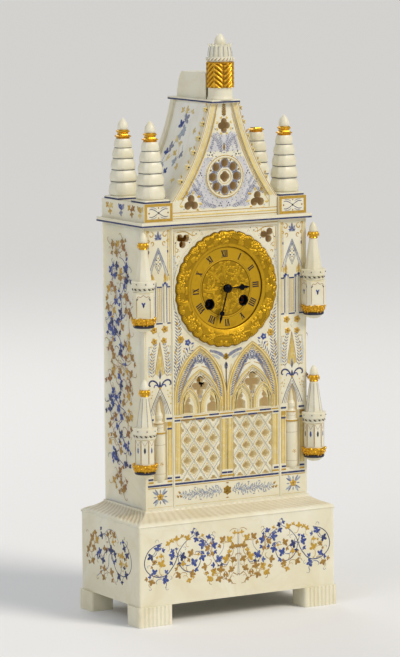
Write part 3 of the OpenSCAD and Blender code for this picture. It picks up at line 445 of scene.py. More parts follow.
def addDot(coat, paint, u, v, radius, crown=0.25, sides=10):
    addPatch(coat, paint, [polar(radius, 360 * i / sides, u, v) for i in range(sides)], crown)


def addFlower(coat, petal, heart, u, v, radius, count=5, angle=90, crown=0.3):
    for k in range(count):
        addLeaf(coat, petal, u, v, angle + 360 * k / count, radius, 0.95, crown)
    addDot(coat, heart, u, v, radius * 0.3, crown * 1.6)


def addCurl(coat, paint, u, v, radius, start, sweep, width):
    # a scroll that winds in to a quarter of its radius
    points = [polar(radius * (1 - 0.075 * i), start + sweep * i / 10, u, v) for i in range(11)]
    addStroke(coat, paint, points, width, 0.15, 2, 0.5)


def facing(side, at):
    # places on a wall that looks to the front, left or right and stands at a place in mm
    if side == "front":
        return lambda u, v, h: (u, at - h, v)
    sign = -1 if side == "left" else 1
    return lambda u, v, h: (at + sign * h, sign * u, v)


# the stone front, and the ground of its carving that lies 1 mm deeper
onFront = facing("front", -38)
onGround = facing("front", -37)


# base: ivy in blue and gold, on the front the same on both halves
def paintIvy(name, place, work, mirror=False):
    coat = newCoat(name, place, mirror)
    for paint, width, points in work["stems"]:
        addStroke(coat, paint, points, width, work["proud"])
    for row in work["leaves"]:
        addSprig(coat, *row)
    for paint, rows in work["curls"].items():
        for row in rows:
            addCurl(coat, paint, *row, work["curlWidth"])
    finishCoat(coat)


# stems: paint, width, points; leaves: paint, u, v, direction, size;
# curls: u, v, radius, start and sweep in degrees
baseFront = {
    "proud": 0.12,
    "curlWidth": 0.5,
    "stems": [
        ("navy", 1.1, [(85, 80), (89, 79), (95, 77), (101, 72), (104.5, 63), (102.5, 55),
                       (96, 49.5), (88, 47.2), (80, 49), (74, 55), (70, 61), (66.5, 70),
                       (61, 77), (56, 81)]),
        ("navy", 1.0, [(68, 68), (66, 58), (61, 51.5), (54, 49), (47, 51), (43, 57), (42, 63)]),
        ("navy", 0.8, [(80, 49), (81.5, 45), (80.5, 39), (82, 36.5)]),
        ("blue", 0.7, [(56, 81), (50, 84), (47, 87), (44, 86)]),
        ("blue", 0.8, [(47, 81), (41, 80), (35, 75), (33, 69)]),
        ("blue", 0.7, [(33, 80), (30, 83), (27, 81)]),
        ("lilac", 0.6, [(24, 60), (19, 65), (16.5, 70), (17, 74)]),
        ("navy", 0.6, [(22, 57), (18, 53), (19, 50)]),
        ("umber", 0.7, [(26, 81), (30, 72), (30, 65), (24, 54), (15, 50), (10, 56)]),
        ("umber", 0.6, [(2, 86), (6, 86.5), (10, 84)]),
        ("umber", 0.6, [(1, 40), (5, 43), (8, 41), (10, 37)]),
        ("umber", 0.6, [(3, 32), (7, 33), (11, 37)]),
        ("umber", 0.7, [(20, 47), (14, 45), (12, 40), (10, 44)]),
        ("umber", 0.7, [(31, 41), (33, 36), (30, 34)]),
        ("umber", 0.6, [(97, 44), (100, 41), (98, 38)]),
        ("umber", 0.6, [(66, 47), (70, 50), (73, 47)]),
        ("umber", 0.6, [(57, 82), (62, 84), (66, 82)]),
        ("umber", 0.6, [(86, 59), (83, 64), (85, 69)]),
        ("umber", 0.6, [(62, 57), (60, 62), (56, 64)]),
        ("lilac", 0.5, [(0.9, 86), (0.5, 76), (0.9, 64), (0.5, 50), (0.9, 40)]),
    ],
    "leaves": [
        ("blue", 90, 74.5, 100, 4.6), ("navy", 97, 68, 330, 4.8), ("blue", 93.5, 52, 60, 4.4),
        ("blue", 82.5, 44.5, 200, 5.2), ("blue", 73, 66.5, 20, 5.0), ("navy", 63, 65, 200, 5.2),
        ("blue", 73.5, 71, 60, 3.2), ("blue", 50.5, 57.5, 150, 5.4), ("blue", 40.5, 62.5, 250, 4.8),
        ("blue", 47, 80.5, 300, 3.8), ("navy", 46.5, 85.5, 200, 3.2), ("blue", 51, 87.3, 20, 2.6),
        ("blue", 39.5, 74, 10, 5.2), ("blue", 33.5, 80.5, 110, 3.8), ("blue", 28, 72.5, 160, 5.0),
        ("blue", 21.5, 57.5, 60, 5.6), ("navy", 19, 53, 250, 2.6), ("blue", 87.5, 77.5, 60, 2.4),
        ("gold", 86, 59, 120, 5.4), ("umber", 93.5, 61.5, 40, 3.4), ("gold", 86, 67, 90, 3.2),
        ("gold", 78, 78.5, 60, 3.6), ("gold", 69, 82, 90, 4.2), ("gold", 57, 82, 120, 4.4),
        ("umber", 52.5, 67, 30, 4.8), ("gold", 62, 57, 90, 3.8), ("umber", 52.5, 47.5, 200, 4.8),
        ("gold", 55.5, 41.5, 250, 3.8), ("umber", 66.5, 47.5, 330, 4.6), ("umber", 96.5, 44, 290, 4.6),
        ("umber", 34, 70, 40, 4.4), ("umber", 29, 65, 250, 3.4), ("umber", 37, 52.5, 350, 4.6),
        ("umber", 20, 47, 100, 5.2), ("gold", 27, 46, 30, 4.8), ("umber", 22, 39.5, 250, 4.8),
        ("gold", 32, 40.5, 320, 4.4), ("gold", 10.5, 76, 140, 4.8), ("umber", 17, 76.5, 40, 4.8),
        ("umber", 6, 68.5, 80, 5.0), ("umber", 5, 57, 300, 4.8), ("gold", 13, 57.5, 20, 5.4),
        ("umber", 7.5, 46, 60, 4.8), ("umber", 10, 36.5, 290, 3.0), ("gold", 4, 82, 90, 3.0),
        ("gold", 40, 83, 70, 2.4), ("gold", 45, 65, 90, 2.2),
    ],
    "curls": {
        "lilac": [(91, 82, 2.6, 200, -250), (48, 89, 2.2, 0, 240), (80, 36, 2.4, 200, 240),
                  (98, 37, 2.0, 0, -230), (76, 45, 2.2, 90, 230), (60, 72, 2.4, 40, 230),
                  (100, 58, 2.2, 160, -220)],
        "umber": [(28, 84, 2.2, 180, -230), (37, 77, 2.0, 300, 240), (17, 51, 2.0, 120, 240),
                  (12, 64, 1.9, 60, 240), (4, 51, 1.8, 120, 240), (17, 41, 2.0, 160, 240),
                  (37, 46, 2.0, 30, -240), (8, 33, 1.7, 60, 240)],
    },
}
baseSide = {
    "proud": 0.12,
    "curlWidth": 0.5,
    "stems": [
        ("navy", 1.0, [(27, 79), (33, 76), (40, 68), (42.5, 59), (39, 51), (31, 46), (22, 45), (13, 48),
                       (8, 54), (4, 62), (1, 70), (-3, 78), (-8, 81), (-14, 80.5), (-21, 78), (-26, 75)]),
        ("blue", 0.8, [(3, 64), (-2, 61), (-3, 52), (-7, 47), (-14, 45), (-22, 40), (-27, 37)]),
        ("umber", 0.7, [(-24, 60), (-30, 57), (-35, 52), (-42, 55), (-46, 62)]),
        ("umber", 0.7, [(-2, 77), (4, 81), (10, 83)]),
        ("navy", 0.7, [(16, 47), (15, 41), (13, 37)]),
        ("umber", 0.6, [(4, 46), (6, 40), (9, 36)]),
        ("lilac", 0.7, [(-10, 82), (-4, 86), (4, 87), (12, 84), (15, 79)]),
    ],
    "leaves": [
        ("navy", 29, 73, 200, 4.6), ("navy", 34, 67, 320, 4.6), ("blue", 26, 78, 100, 3.2),
        ("navy", 31, 47, 20, 5.0), ("navy", 18, 44, 220, 5.2), ("navy", 2, 66, 90, 6.4),
        ("navy", 9, 64, 20, 4.4), ("blue", 8, 56.5, 300, 3.2), ("navy", -16, 79, 200, 4.6),
        ("blue", -20, 62, 120, 4.8), ("navy", -14, 55.5, 260, 5.0), ("blue", -24, 60, 170, 3.2),
        ("gold", 24, 64, 80, 5.0), ("gold", 22, 57, 200, 4.6), ("gold", 31, 57, 350, 4.0),
        ("umber", 8, 82, 60, 5.2), ("umber", -4, 81, 120, 4.2), ("umber", -11, 66, 100, 4.2),
        ("umber", -35, 73, 140, 6.0), ("gold", -27, 73, 30, 5.4), ("umber", -32, 65, 250, 5.2),
        ("umber", -43, 61, 150, 5.0), ("umber", -35, 52, 300, 5.2), ("umber", -12, 46, 80, 4.8),
        ("umber", 2, 45, 20, 5.4), ("umber", -13, 38.5, 240, 4.6), ("gold", 6, 76, 280, 3.4),
        ("umber", -29, 79, 100, 3.6),
    ],
    "curls": {
        "umber": [(-46, 78, 2.4, 0, 240), (-26, 36, 2.4, 0, -240), (12, 36, 2.2, 90, 240),
                  (38, 71, 2.4, 60, 240), (-24, 52, 2.2, 90, 240), (15, 77, 2.2, 90, -240),
                  (28, 83, 2.0, 250, 240), (-6, 73, 2.0, 0, 240), (26, 51, 2.0, 180, 240)],
    },
}
paintIvy("base_front_ivy", facing("front", -58), baseFront, mirror=True)
paintIvy("base_left_ivy", facing("left", -110), baseSide)
paintIvy("base_right_ivy", facing("right", 110), baseSide)
print("base painted")


# one motif repeated on points by Geometry Nodes
def makeRepeatTree():
    tree = bpy.data.node_groups.new("motif_on_points", "GeometryNodeTree")
    for name, kind in (("Points", "Geometry"), ("Motif", "Object"), ("Finish", "Material"),
                       ("Unevenness", "Float"), ("Seed", "Int")):
        tree.interface.new_socket(name, in_out="INPUT", socket_type="NodeSocket" + kind)
    tree.interface.new_socket("Mesh", in_out="OUTPUT", socket_type="NodeSocketGeometry")
    given = tree.nodes.new("NodeGroupInput").outputs
    motif = addNode(tree, "ObjectInfo", {}, {"Object": given["Motif"]})
    turn = addNode(tree, "InputNamedAttribute", {"Name": "turn"}, {}, data_type="FLOAT_VECTOR")
    size = addNode(tree, "InputNamedAttribute", {"Name": "size"}, {}, data_type="FLOAT_VECTOR")
    low = addNode(tree, "ShaderNodeMath", {0: 1.0}, {1: given["Unevenness"]}, operation="SUBTRACT")
    high = addNode(tree, "ShaderNodeMath", {0: 1.0}, {1: given["Unevenness"]}, operation="ADD")
    vary = addNode(tree, "FunctionNodeRandomValue", {}, {"Min": low.outputs[0], "Max": high.outputs[0],
                                                         "Seed": given["Seed"]}, data_type="FLOAT")
    scale = addNode(tree, "ShaderNodeVectorMath", {}, {0: size.outputs[0], "Scale": vary.outputs[1]},
                    operation="SCALE")
    placed = addNode(tree, "InstanceOnPoints", {}, {"Points": given["Points"],
                                                    "Instance": motif.outputs["Geometry"],
                                                    "Rotation": turn.outputs[0],
                                                    "Scale": scale.outputs[0]})
    real = addNode(tree, "RealizeInstances", {}, {"Geometry": placed.outputs[0]})
    dressed = addNode(tree, "SetMaterial", {}, {"Geometry": real.outputs[0],
                                                "Material": given["Finish"]})
    out = tree.nodes.new("NodeGroupOutput")
    tree.links.new(dressed.outputs[0], out.inputs["Mesh"])
    return tree


repeatTree = makeRepeatTree()


def repeatMotif(name, motif, places, key, uneven, seed):
    # motif: (verts, faces) in mm; places: (x, y, z), (turns in radians), (scales)
    source = bpy.data.meshes.new(name + "_motif")
    source.from_pydata([Vector(p) * mm for p in motif[0]], [], motif[1])
    source.polygons.foreach_set("use_smooth", [True] * len(source.polygons))
    sample = bpy.data.objects.new(name + "_motif", source)
    points = bpy.data.meshes.new(name + "_points")
    points.from_pydata([Vector(p[0]) * mm for p in places], [], [])
    for label, column in (("turn", 1), ("size", 2)):
        attribute = points.attributes.new(label, "FLOAT_VECTOR", "POINT")
        attribute.data.foreach_set("vector", [c for p in places for c in p[column]])
    holder = bpy.data.objects.new(name + "_holder", points)
    for item in (sample, holder):
        scene.collection.objects.link(item)
    modifier = holder.modifiers.new("repeat", "NODES")
    modifier.node_group = repeatTree
    sockets = {s.name: s.identifier for s in repeatTree.interface.items_tree if s.in_out == "INPUT"}
    for label, value in (("Motif", sample), ("Finish", finish[key]), ("Unevenness", uneven),
                         ("Seed", seed)):
        modifier[sockets[label]] = value
    graph = bpy.context.evaluated_depsgraph_get()
    mesh = bpy.data.meshes.new_from_object(holder.evaluated_get(graph))
    holder.modifiers.clear()
    for item in (sample, holder):
        bpy.data.objects.remove(item)
    mesh.name = name
    return setPiece(name, mesh)


# motifs that are set many times
def domeMotif(length, width, height, rings, sides):
    # half an egg lying on its flat side, longer along x
    verts, faces = [], []
    for j in range(rings):
        t = j / rings * math.pi / 2
        for i in range(sides):
            a = 2 * math.pi * i / sides
            verts.append((length / 2 * math.cos(a) * math.cos(t), width / 2 * math.sin(a) * math.cos(t),
                          height * math.sin(t) - (0.2 if j == 0 else 0)))
    verts.append((0, 0, height))
    for j in range(rings - 1):
        for i in range(sides):
            k = (i + 1) % sides
            faces.append((j * sides + i, j * sides + k, (j + 1) * sides + k, (j + 1) * sides + i))
    last = (rings - 1) * sides
    faces += [(last + i, last + (i + 1) % sides, rings * sides) for i in range(sides)]
    faces.append(tuple(range(sides))[::-1])
    return verts, faces


def ballMotif(radius, rings=4, sides=6):
    verts = [(0, 0, -radius)]
    for j in range(1, rings):
        t = -math.pi / 2 + math.pi * j / rings
        verts += [(radius * math.cos(t) * math.cos(2 * math.pi * i / sides),
                   radius * math.cos(t) * math.sin(2 * math.pi * i / sides), radius * math.sin(t))
                  for i in range(sides)]
    verts.append((0, 0, radius))
    faces = [(0, 1 + (i + 1) % sides, 1 + i) for i in range(sides)]
    for j in range(rings - 2):
        a, b = 1 + j * sides, 1 + (j + 1) * sides
        faces += [(a + i, a + (i + 1) % sides, b + (i + 1) % sides, b + i) for i in range(sides)]
    a = 1 + (rings - 2) * sides
    faces += [(a + i, a + (i + 1) % sides, len(verts) - 1) for i in range(sides)]
    return verts, faces


def addMotif(form, motif, key, spot, spin=Matrix.Identity(3), size=(1, 1, 1)):
    verts, faces = motif
    if size[0] < 0:
        faces = [face[::-1] for face in faces]
    placed = [Vector(spot) + spin @ Vector([c * s for c, s in zip(p, size)]) for p in verts]
    addMesh(form, [tuple(p) for p in placed], faces, key)


def leaning(around, tip, roll=0.0):
    # how a motif lies on an upright round body: round its axis, tipped over, rolled in its plane
    return (Matrix.Rotation(around, 3, "Z") @ Matrix.Rotation(tip, 3, "Y")
            @ Matrix.Rotation(roll, 3, "Z"))


# turned, ribbed and tiered forms built from closed rings, lowest first
def addLoft(form, rings, key):
    count = len(rings[0])
    verts = [p for ring in rings for p in ring]
    faces = [tuple(range(count))[::-1]]
    for a in range(0, len(verts) - count, count):
        b = a + count
        faces += [(a + i, a + (i + 1) % count, b + (i + 1) % count, b + i) for i in range(count)]
    faces.append(tuple(range(len(verts) - count, len(verts))))
    addMesh(form, verts, faces, key)


def finishForm(name, form, sharp=38, nodes=(), move=lambda x, y, z: (x, y, z)):
    mesh = makeMesh(name, form, move, True)
    mesh.set_sharp_from_angle(angle=math.radians(sharp))
    return setPiece(name, mesh, nodes)


def markRelief(piece, values):
    # 1 on the high places, 0 in the hollows, where the finishes darken: painted shade on gilt relief, a
    # darker brown on the moulding; points past the list are high
    count = len(piece.data.vertices)
    attribute = piece.data.attributes.new("relief", "FLOAT", "POINT")
    attribute.data.foreach_set("value", (values + [1.0] * count)[:count])


def squareRing(half, cut, z, bulge=0.0, per=4, centre=(0, 0)):
    # a square whose corners are cut and whose sides swell a little
    k = half - cut
    corners = [(half, -k), (half, k), (k, half), (-k, half), (-half, k), (-half, -k), (-k, -half),
               (k, -half)]
    ring = []
    for i, (x0, y0) in enumerate(corners):
        x1, y1 = corners[(i + 1) % 8]
        nx, ny = y1 - y0, x0 - x1
        n = math.hypot(nx, ny) or 1
        for j in range(per):
            t = j / per
            swell = bulge * 4 * t * (1 - t) * (1 if i % 2 == 0 else 0.3)
            ring.append((centre[0] + x0 + (x1 - x0) * t + nx / n * swell,
                         centre[1] + y0 + (y1 - y0) * t + ny / n * swell, z))
    return ring


def roundRing(radius, z, sides=32, centre=(0, 0), wave=None):
    ring = []
    for i in range(sides):
        a = 2 * math.pi * i / sides
        r = radius + (wave(a, z) if wave else 0)
        ring.append((centre[0] + r * math.cos(a), centre[1] + r * math.sin(a), z))
    return ring


# pinnacles: plate, five swelling tiers with hollowed feet, a gilt collar and on three of them a bud
pinnacle = {
    "spots": {"front_left": (-75, -24), "front_right": (75, -24), "rear_left": (-75, 29),
              "rear_right": (75, 29)},
    "budded": ("front_left", "front_right", "rear_left"),
    "plate": 404.5, "plateHalf": 13.7, "tiersFoot": 407.45, "tiersTall": 55, "width": 24.6,
    "collarFoot": 462.45, "upperFoot": 466.9, "budFoot": 471.1,
    # foot, height and width of each tier as shares
    "tiers": ((0, 0.245, 1), (0.245, 0.205, 0.94), (0.45, 0.2, 0.84), (0.65, 0.185, 0.74),
              (0.835, 0.165, 0.61)),
    "corner": 0.42, "swell": 0.35, "collarCorner": 0.24,
    "bead": 0.75, "beadUneven": 0.0, "beadSeed": 3,
}


def collarBeads(x, y, reach, z, scale):
    # rows for repeatMotif: one bead at each corner of a square collar
    return [((*polar(reach, 45 + 90 * side, x, y), z), (0, 0, 0), (scale,) * 3) for side in range(4)]


def makePinnacles():
    # profiles: rise, reach
    tier = [(0, 0.84), (0.02, 0.9), (0.07, 0.95), (0.16, 0.985), (0.3, 1.0), (0.48, 0.99),
            (0.66, 0.955), (0.82, 0.905), (0.95, 0.85), (1.0, 0.82)]
    shade = [(0.1, 0.93), (0.16, 0.955), (0.42, 0.965), (0.5, 0.95)]
    lower = [(0, 5.0), (0.6, 5.4), (1.1, 5.0), (1.5, 5.5), (1.9, 6.15), (2.7, 6.2), (3.2, 5.5),
             (3.6, 4.6), (4.4, 4.3)]
    upper = [(0, 4.3), (0.9, 4.2), (1.5, 4.5), (2.0, 5.1), (3.1, 5.2), (3.5, 4.7), (4.2, 4.2)]
    bud = [(0, 4.4), (0.8, 5.1), (2.4, 5.3), (4.4, 5.0), (6.6, 4.2), (8.6, 2.9), (10, 1.7),
           (11, 0.7), (11.3, 0.15)]
    corner, swell, collarCorner = pinnacle["corner"], pinnacle["swell"], pinnacle["collarCorner"]
    plate, half = pinnacle["plate"], pinnacle["plateHalf"]
    beads = []
    for name, spot in pinnacle["spots"].items():
        form = newForm()
        addLoft(form, [squareRing(half - d, 0.9 + d / 5, plate + z, 0, 1, spot)
                       for z, d in ((0, 0), (2.4, 0), (2.95, 0.5))], "alabaster")
        for start, height, size in pinnacle["tiers"]:
            wide = pinnacle["width"] * size / 2
            low = pinnacle["tiersFoot"] + pinnacle["tiersTall"] * start
            tall = pinnacle["tiersTall"] * height
            addLoft(form, [squareRing(wide * w, wide * w * corner, low + tall * t, swell, 4, spot)
                           for t, w in tier], "alabaster")
            # a blue-black ring at the foot of each upper tier: a painted line in the crease, together with
            # painted shade under the tier's swell
            if start:
                addLoft(form, [squareRing(wide * w, wide * w * corner, low + dz, swell, 4, spot)
                               for dz, w in shade], "ink")
        addLoft(form, [squareRing(r, r * collarCorner, pinnacle["collarFoot"] + z, 0, 2, spot)
                       for z, r in lower], "leaf")
        beads += collarBeads(*spot, 7.7, 464.8, 1)
        finishForm("pinnacle_" + name + "_carved", form, nodes=("pinnacle_" + name,))
    form = newForm()
    for name in pinnacle["budded"]:
        spot = pinnacle["spots"][name]
        addLoft(form, [squareRing(r, r * collarCorner, pinnacle["upperFoot"] + z, 0, 2, spot)
                       for z, r in upper], "leaf")
        beads += collarBeads(*spot, 6.4, 469.5, 0.87)
        addLoft(form, [roundRing(r, pinnacle["budFoot"] + z, 20, spot) for z, r in bud], "alabaster")
    finishForm("pinnacle_buds_carved", form, nodes=("pinnacle_buds",))
    repeatMotif("pinnacle_collar_beads", ballMotif(pinnacle["bead"]), beads, "leaf",
                pinnacle["beadUneven"], pinnacle["beadSeed"])


makePinnacles()
print("pinnacles ready")


# hanging turrets: bowl, gilt garland, panelled drum, rope course, spire, gilt calyx and bud
def turretRing(radius, z, soft=0.0, sides=40):
    # between an octagon (soft 0) and a circle (soft 1), one flat side to the front
    ring = []
    for i in range(sides):
        a = 2 * math.pi * (i + 0.5) / sides
        off = ((math.degrees(a) + 22.5) % 45) - 22.5
        flat = math.cos(math.radians(22.5)) / math.cos(math.radians(off))
        r = radius * (flat * (1 - soft) + soft)
        ring.append((r * math.cos(a), r * math.sin(a), z))
    return ring


def addCrease(form, centre, angle, rows, half, proud, key):
    # a thin upright line through places (distance from the axis, height)
    c, s = math.cos(angle), math.sin(angle)
    side = Vector((-s, c, 0)) * half
    line = [Vector((centre[0] + r * c, centre[1] + r * s, z)) for r, z in rows]
    for p, q in zip(line, line[1:]):
        verts = []
        for end in (p, q):
            verts += [tuple(end - side), tuple(end + Vector((c, s, 0)) * proud), tuple(end + side)]
        faces = [(1, 4, 3, 0), (2, 5, 4, 1), (3, 5, 2, 0), (2, 1, 0), (4, 5, 3)]
        addMesh(form, verts, faces, key)


turret = {
    "upper": {"foot": 283.5, "square": True}, "lower": {"foot": 142.5, "square": False},
    "reach": 95.2, "front": -44.6, "turnLeft": -30, "turnRight": -7.5,
    "leaves": 18, "strands": 28, "points": 8, "drum": (13.3, 25, 38.2), "drumHalf": 10,
    # each row of gilt leaves: height, reach, tilt, size
    "leafRows": ((12.2, 11.0, 0.9, 1.0), (9.4, 10.4, -0.8, 0.85), (7.3, 9.6, 0.2, 0.6)),
}


def squareDrumFace(half):
    # gilt frame with a cusped head and a blue drop
    panel = newCoat("drop", None)
    addLeaf(panel, "blue", -0.2, 26.4, 118, 3.4, 0.6, 0.15)
    addLeaf(panel, "blue", 0.2, 26.4, 62, 3.4, 0.6, 0.15)
    addLeaf(panel, "navy", 0, 28.4, 270, 5.0, 0.5, 0.2)
    for s in (-1, 1):
        addDot(panel, "enamel", (half - 0.5) * s, 31.6, 0.75, 0.2, 8)
        addLeaf(panel, "enamel", (half - 0.5) * s, 31.6, 90 + 40 * s, 2.4, 0.35, 0.15)
        addStroke(panel, "umber", [((half - 0.3) * s, v) for v in (14.5, 23, 31)], 0.6, 0.1)
        cusp = [((half - 0.2) * s, 32), (5.2 * s, 34.6), (2.4 * s, 34.2), (0, 36.2)]
        addStroke(panel, "russet", cusp, 0.55, 0.12)
    return panel


def narrowDrumFace(half, paint):
    # a lancet drawn in brown with a dark drop
    panel = newCoat("drop", None)
    drop = [(0, 23.8), (1.1, 26.2), (1.0, 28.8), (0, 31.2), (-1.0, 28.8), (-1.1, 26.2)]
    addPatch(panel, paint, drop, 0.2)
    for s in (-1, 1):
        addStroke(panel, "umber", [((half - 0.35) * s, v) for v in (14.5, 25, 37)], 0.65, 0.1)
        addStroke(panel, "russet", [((half - 0.6) * s, 37), (1.6 * s, 34.6), (0, 31.8)], 0.35, 0.1)
    return panel


def makeTurret(name, side, foot, square):
    form = newForm()
    # profiles from the foot up: height, reach, and 0 for eight flats to 1 for round
    bowl = [(0.05, 2.6, 1), (0.4, 4.2, 1), (1.2, 6.4, 1), (2.4, 7.8, 1), (3.4, 8.6, 1), (3.8, 8.9, 1)]
    band = [(3.8, 9.0, 1), (4.1, 9.8, 1), (5.3, 10.2, 1), (6.2, 10.0, 1), (6.4, 9.4, 1)]
    core = [(6.4, 9.0, 1), (8, 10.0, 1), (10, 10.8, 1), (12.4, 11.3, 1), (13.5, 10.9, 1)]
    course = [(38.0, 10.2, 0.4), (38.7, 10.9, 0.5), (39.6, 11.0, 0.6), (40.2, 10.5, 0.6),
              (42.0, 10.7, 0.7), (42.6, 11.4, 0.8), (44.5, 11.7, 0.8), (47.2, 12.0, 0.8),
              (48.5, 12.1, 0.8), (48.8, 11.6, 0.8), (48.8, 8.6, 0.8)]
    spire = [(48.6, 8.6, 0.0), (49.6, 8.3, 0.0), (56, 7.3, 0.0), (64, 6.1, 0.0), (72, 4.9, 0.1),
             (78.9, 3.9, 0.5)]
    calyx = [(78.6, 3.9, 1), (79.2, 4.5, 1), (80.0, 4.1, 1), (81.2, 4.4, 1), (83.2, 4.8, 1),
             (85.0, 4.9, 1)]
    bud = [(84.8, 3.9, 1), (86.0, 4.2, 1), (88, 4.1, 1), (90.4, 3.4, 1), (92.6, 2.4, 1),
           (94.2, 1.2, 1), (94.9, 0.3, 1)]
    for rows, key in ((bowl, "alabaster"), (band, "ink"), (core, "leaf"), (course, "alabaster"),
                      (spire, "alabaster"), (calyx, "leaf"), (bud, "alabaster")):
        addLoft(form, [turretRing(r, z, soft) for z, r, soft in rows], key)
    half = turret["drumHalf"]
    if square:
        addLoft(form, [squareRing(half, 3.3, z, 0, 3) for z in turret["drum"]], "alabaster")
    else:
        addLoft(form, [turretRing(half, z) for z in turret["drum"]], "alabaster")
        edge = ((8.3, 49.8), (7.3, 56), (6.1, 64), (4.9, 72), (4.2, 77))
        for k in range(8):
            addCrease(form, (0, 0), math.radians(22.5 + 45 * k), edge, 0.26, 0.14, "lilac")
    # leafy gilt swags: three rows of curled leaves, and the leaves of the calyx
    dome = domeMotif(4.0, 2.7, 1.5, 3, 8)
    for i in range(turret["leaves"]):
        a = 2 * math.pi * (i + 0.5) / turret["leaves"]
        for z, r, tilt, big in turret["leafRows"]:
            spot = (r * math.cos(a), r * math.sin(a), z + 0.8 * math.cos(a * 4.5))
            addMotif(form, dome, "leaf", spot, leaning(a, math.pi / 2, tilt if i % 2 else -tilt),
                     (big,) * 3)
    for i in range(8):
        a = math.pi / 4 * (i + 0.5)
        spot = (4.5 * math.cos(a), 4.5 * math.sin(a), 82.9)
        addMotif(form, dome, "leaf", spot, leaning(a, math.pi / 2 - 0.35), (-1.5, 1.0, 0.8))
    # a rope course of light and dark strands under the rim, dark points on the rim
    rope = domeMotif(3.2, 1.25, 0.6, 2, 6)
    for i in range(turret["strands"]):
        a = 2 * math.pi * (i + 0.5) / turret["strands"]
        spot = (10.75 * math.cos(a), 10.75 * math.sin(a), 41.1)
        addMotif(form, rope, "enamel" if i % 2 else "alabaster", spot,
                 leaning(a, math.pi / 2, math.pi / 2 - 0.6))
    for i in range(turret["points"]):
        addMotif(form, ballMotif(0.6), "enamel", (*polar(11.9, 45 * (i + 0.25)), 46.2))
    flats = [(d, half, 6.7) for d in (180, 270, 0)]
    if not square:
        flats = [(45 * k, half * math.cos(math.pi / 8), 3.8) for k in range(8)]
    for direction, out, wide in flats:
        a = math.radians(direction)
        paint = "blue" if direction % 90 else "ink"
        panel = squareDrumFace(wide) if square else narrowDrumFace(wide, paint)
        addStroke(panel, "straw", [(-wide + 0.3, 37.4), (0, 37.5), (wide - 0.3, 37.4)], 0.6, 0.1)
        panel["place"] = lambda u, v, h: ((out + h) * math.cos(a) - u * math.sin(a),
                                          (out + h) * math.sin(a) + u * math.cos(a), v)
        addCoat(form, panel)
    turn = math.radians(turret["turnLeft"] if side < 0 else turret["turnRight"])
    c, s = math.cos(turn), math.sin(turn)
    finishForm(name + "_carved", form, nodes=(name,), move=lambda x, y, z: (
        side * turret["reach"] + x * c - y * s, turret["front"] + x * s + y * c, foot + z))


for level in ("upper", "lower"):
    for hand, side in (("left", -1), ("right", 1)):
        makeTurret("turret_%s_%s" % (level, hand), side, **turret[level])


print("turrets ready")


# finial: stone foot, gilt leafy drum, rope ring, petal crown and bud
finial = {
    "spot": (0, -29.5), "foot": 500.5, "drumFoot": 511.9, "drumTall": 23.9, "drumRadius": 13.7,
    "stem": 211, "leafPitch": 4.7, "leafSlant": 1.9, "around": 176, "rows": 50,
    "rope": 539.1, "ropeRadius": 12.1, "strands": 22, "petals": 14,
}


def drumRelief(a, z):
    # four upright sprays of leaves that slant down from their stems, z counted from the drum's foot
    sector = (math.degrees(a) - finial["stem"] + 45) % 90 - 45
    u = sector / 45
    edge = max(0.0, 1 - abs(u) ** 12)
    stem = 0.9 * math.exp(-(u / 0.07) ** 2)
    wave = 0.5 + 0.5 * math.cos(2 * math.pi * (z / finial["leafPitch"] + abs(u) * finial["leafSlant"]))
    leaf = 1.5 * wave ** 0.8 * edge * min(1, abs(u) * 9)
    curl = 0.7 * math.exp(-((z - 2.2) / 1.6) ** 2) * max(0.0, 1 - (u / 0.3) ** 2)
    return min(stem + leaf, 1.6) + curl - 1.65


def makeFinial():
    form = newForm()
    spot, around, low = finial["spot"], finial["around"], finial["drumFoot"]
    foot = [(0, 12.9), (0.5, 13.1), (1.6, 12.6), (3, 12.0), (4.6, 11.8), (9, 11.7), (11.0, 11.8),
            (11.5, 12.2)]
    addLoft(form, [roundRing(r, finial["foot"] + z, 64, spot) for z, r in foot], "alabaster")
    rings = [roundRing(10.5, low - 0.1, around, spot)]
    relief = [1.0] * (len(form["verts"]) + around)
    for j in range(finial["rows"] + 1):
        z = finial["drumTall"] * j / finial["rows"]
        rings.append(roundRing(finial["drumRadius"], low + z, around, spot,
                               lambda a, h: drumRelief(a, h - low)))
        for i in range(around):
            # painted shade: the hollows between the drum's leaves are marked dark for the gilt
            proud = (drumRelief(2 * math.pi * i / around, z) + 1.5) / 1.2
            relief.append(max(0.0, min(1.0, proud)))
    rings.append(roundRing(12.0, low + 24.1, around, spot))
    addLoft(form, rings, "leafCarved")
    top = [(535.2, 12.9), (535.5, 13.5), (536.2, 13.5), (536.6, 12.6)]
    addLoft(form, [roundRing(r, z, 64, spot) for z, r in top], "leaf")
    dome = domeMotif(5.6, 3.6, 1.5, 3, 10)
    for i in range(4):
        turn = finial["stem"] + 90 * i
        addMotif(form, dome, "leaf", (*polar(11.9, turn, *spot), 513.9),
                 leaning(math.radians(turn), math.pi / 2 + 0.5))
    piece = finishForm("finial_column_carved", form, 60, ("finial_column",))
    markRelief(piece, relief)


def addRope(form, thick, strands, key, sides, steps, depth):
    # a ring, twisted like a rope where it has strands
    cx, cy = finial["spot"]
    radius, z = finial["ropeRadius"], finial["rope"]
    verts, faces = [], []
    for i in range(steps):
        a = 2 * math.pi * i / steps
        for j in range(sides):
            t = 2 * math.pi * j / sides
            r = thick * (1 - depth + depth * abs(math.cos(t - a * strands / 2)))
            verts.append((cx + (radius + r * math.cos(t)) * math.cos(a),
                          cy + (radius + r * math.cos(t)) * math.sin(a), z + r * math.sin(t)))
    for i in range(steps):
        for j in range(sides):
            k, m = (i + 1) % steps, (j + 1) % sides
            faces.append((i * sides + j, k * sides + j, k * sides + m, i * sides + m))
    addMesh(form, verts, faces, key)


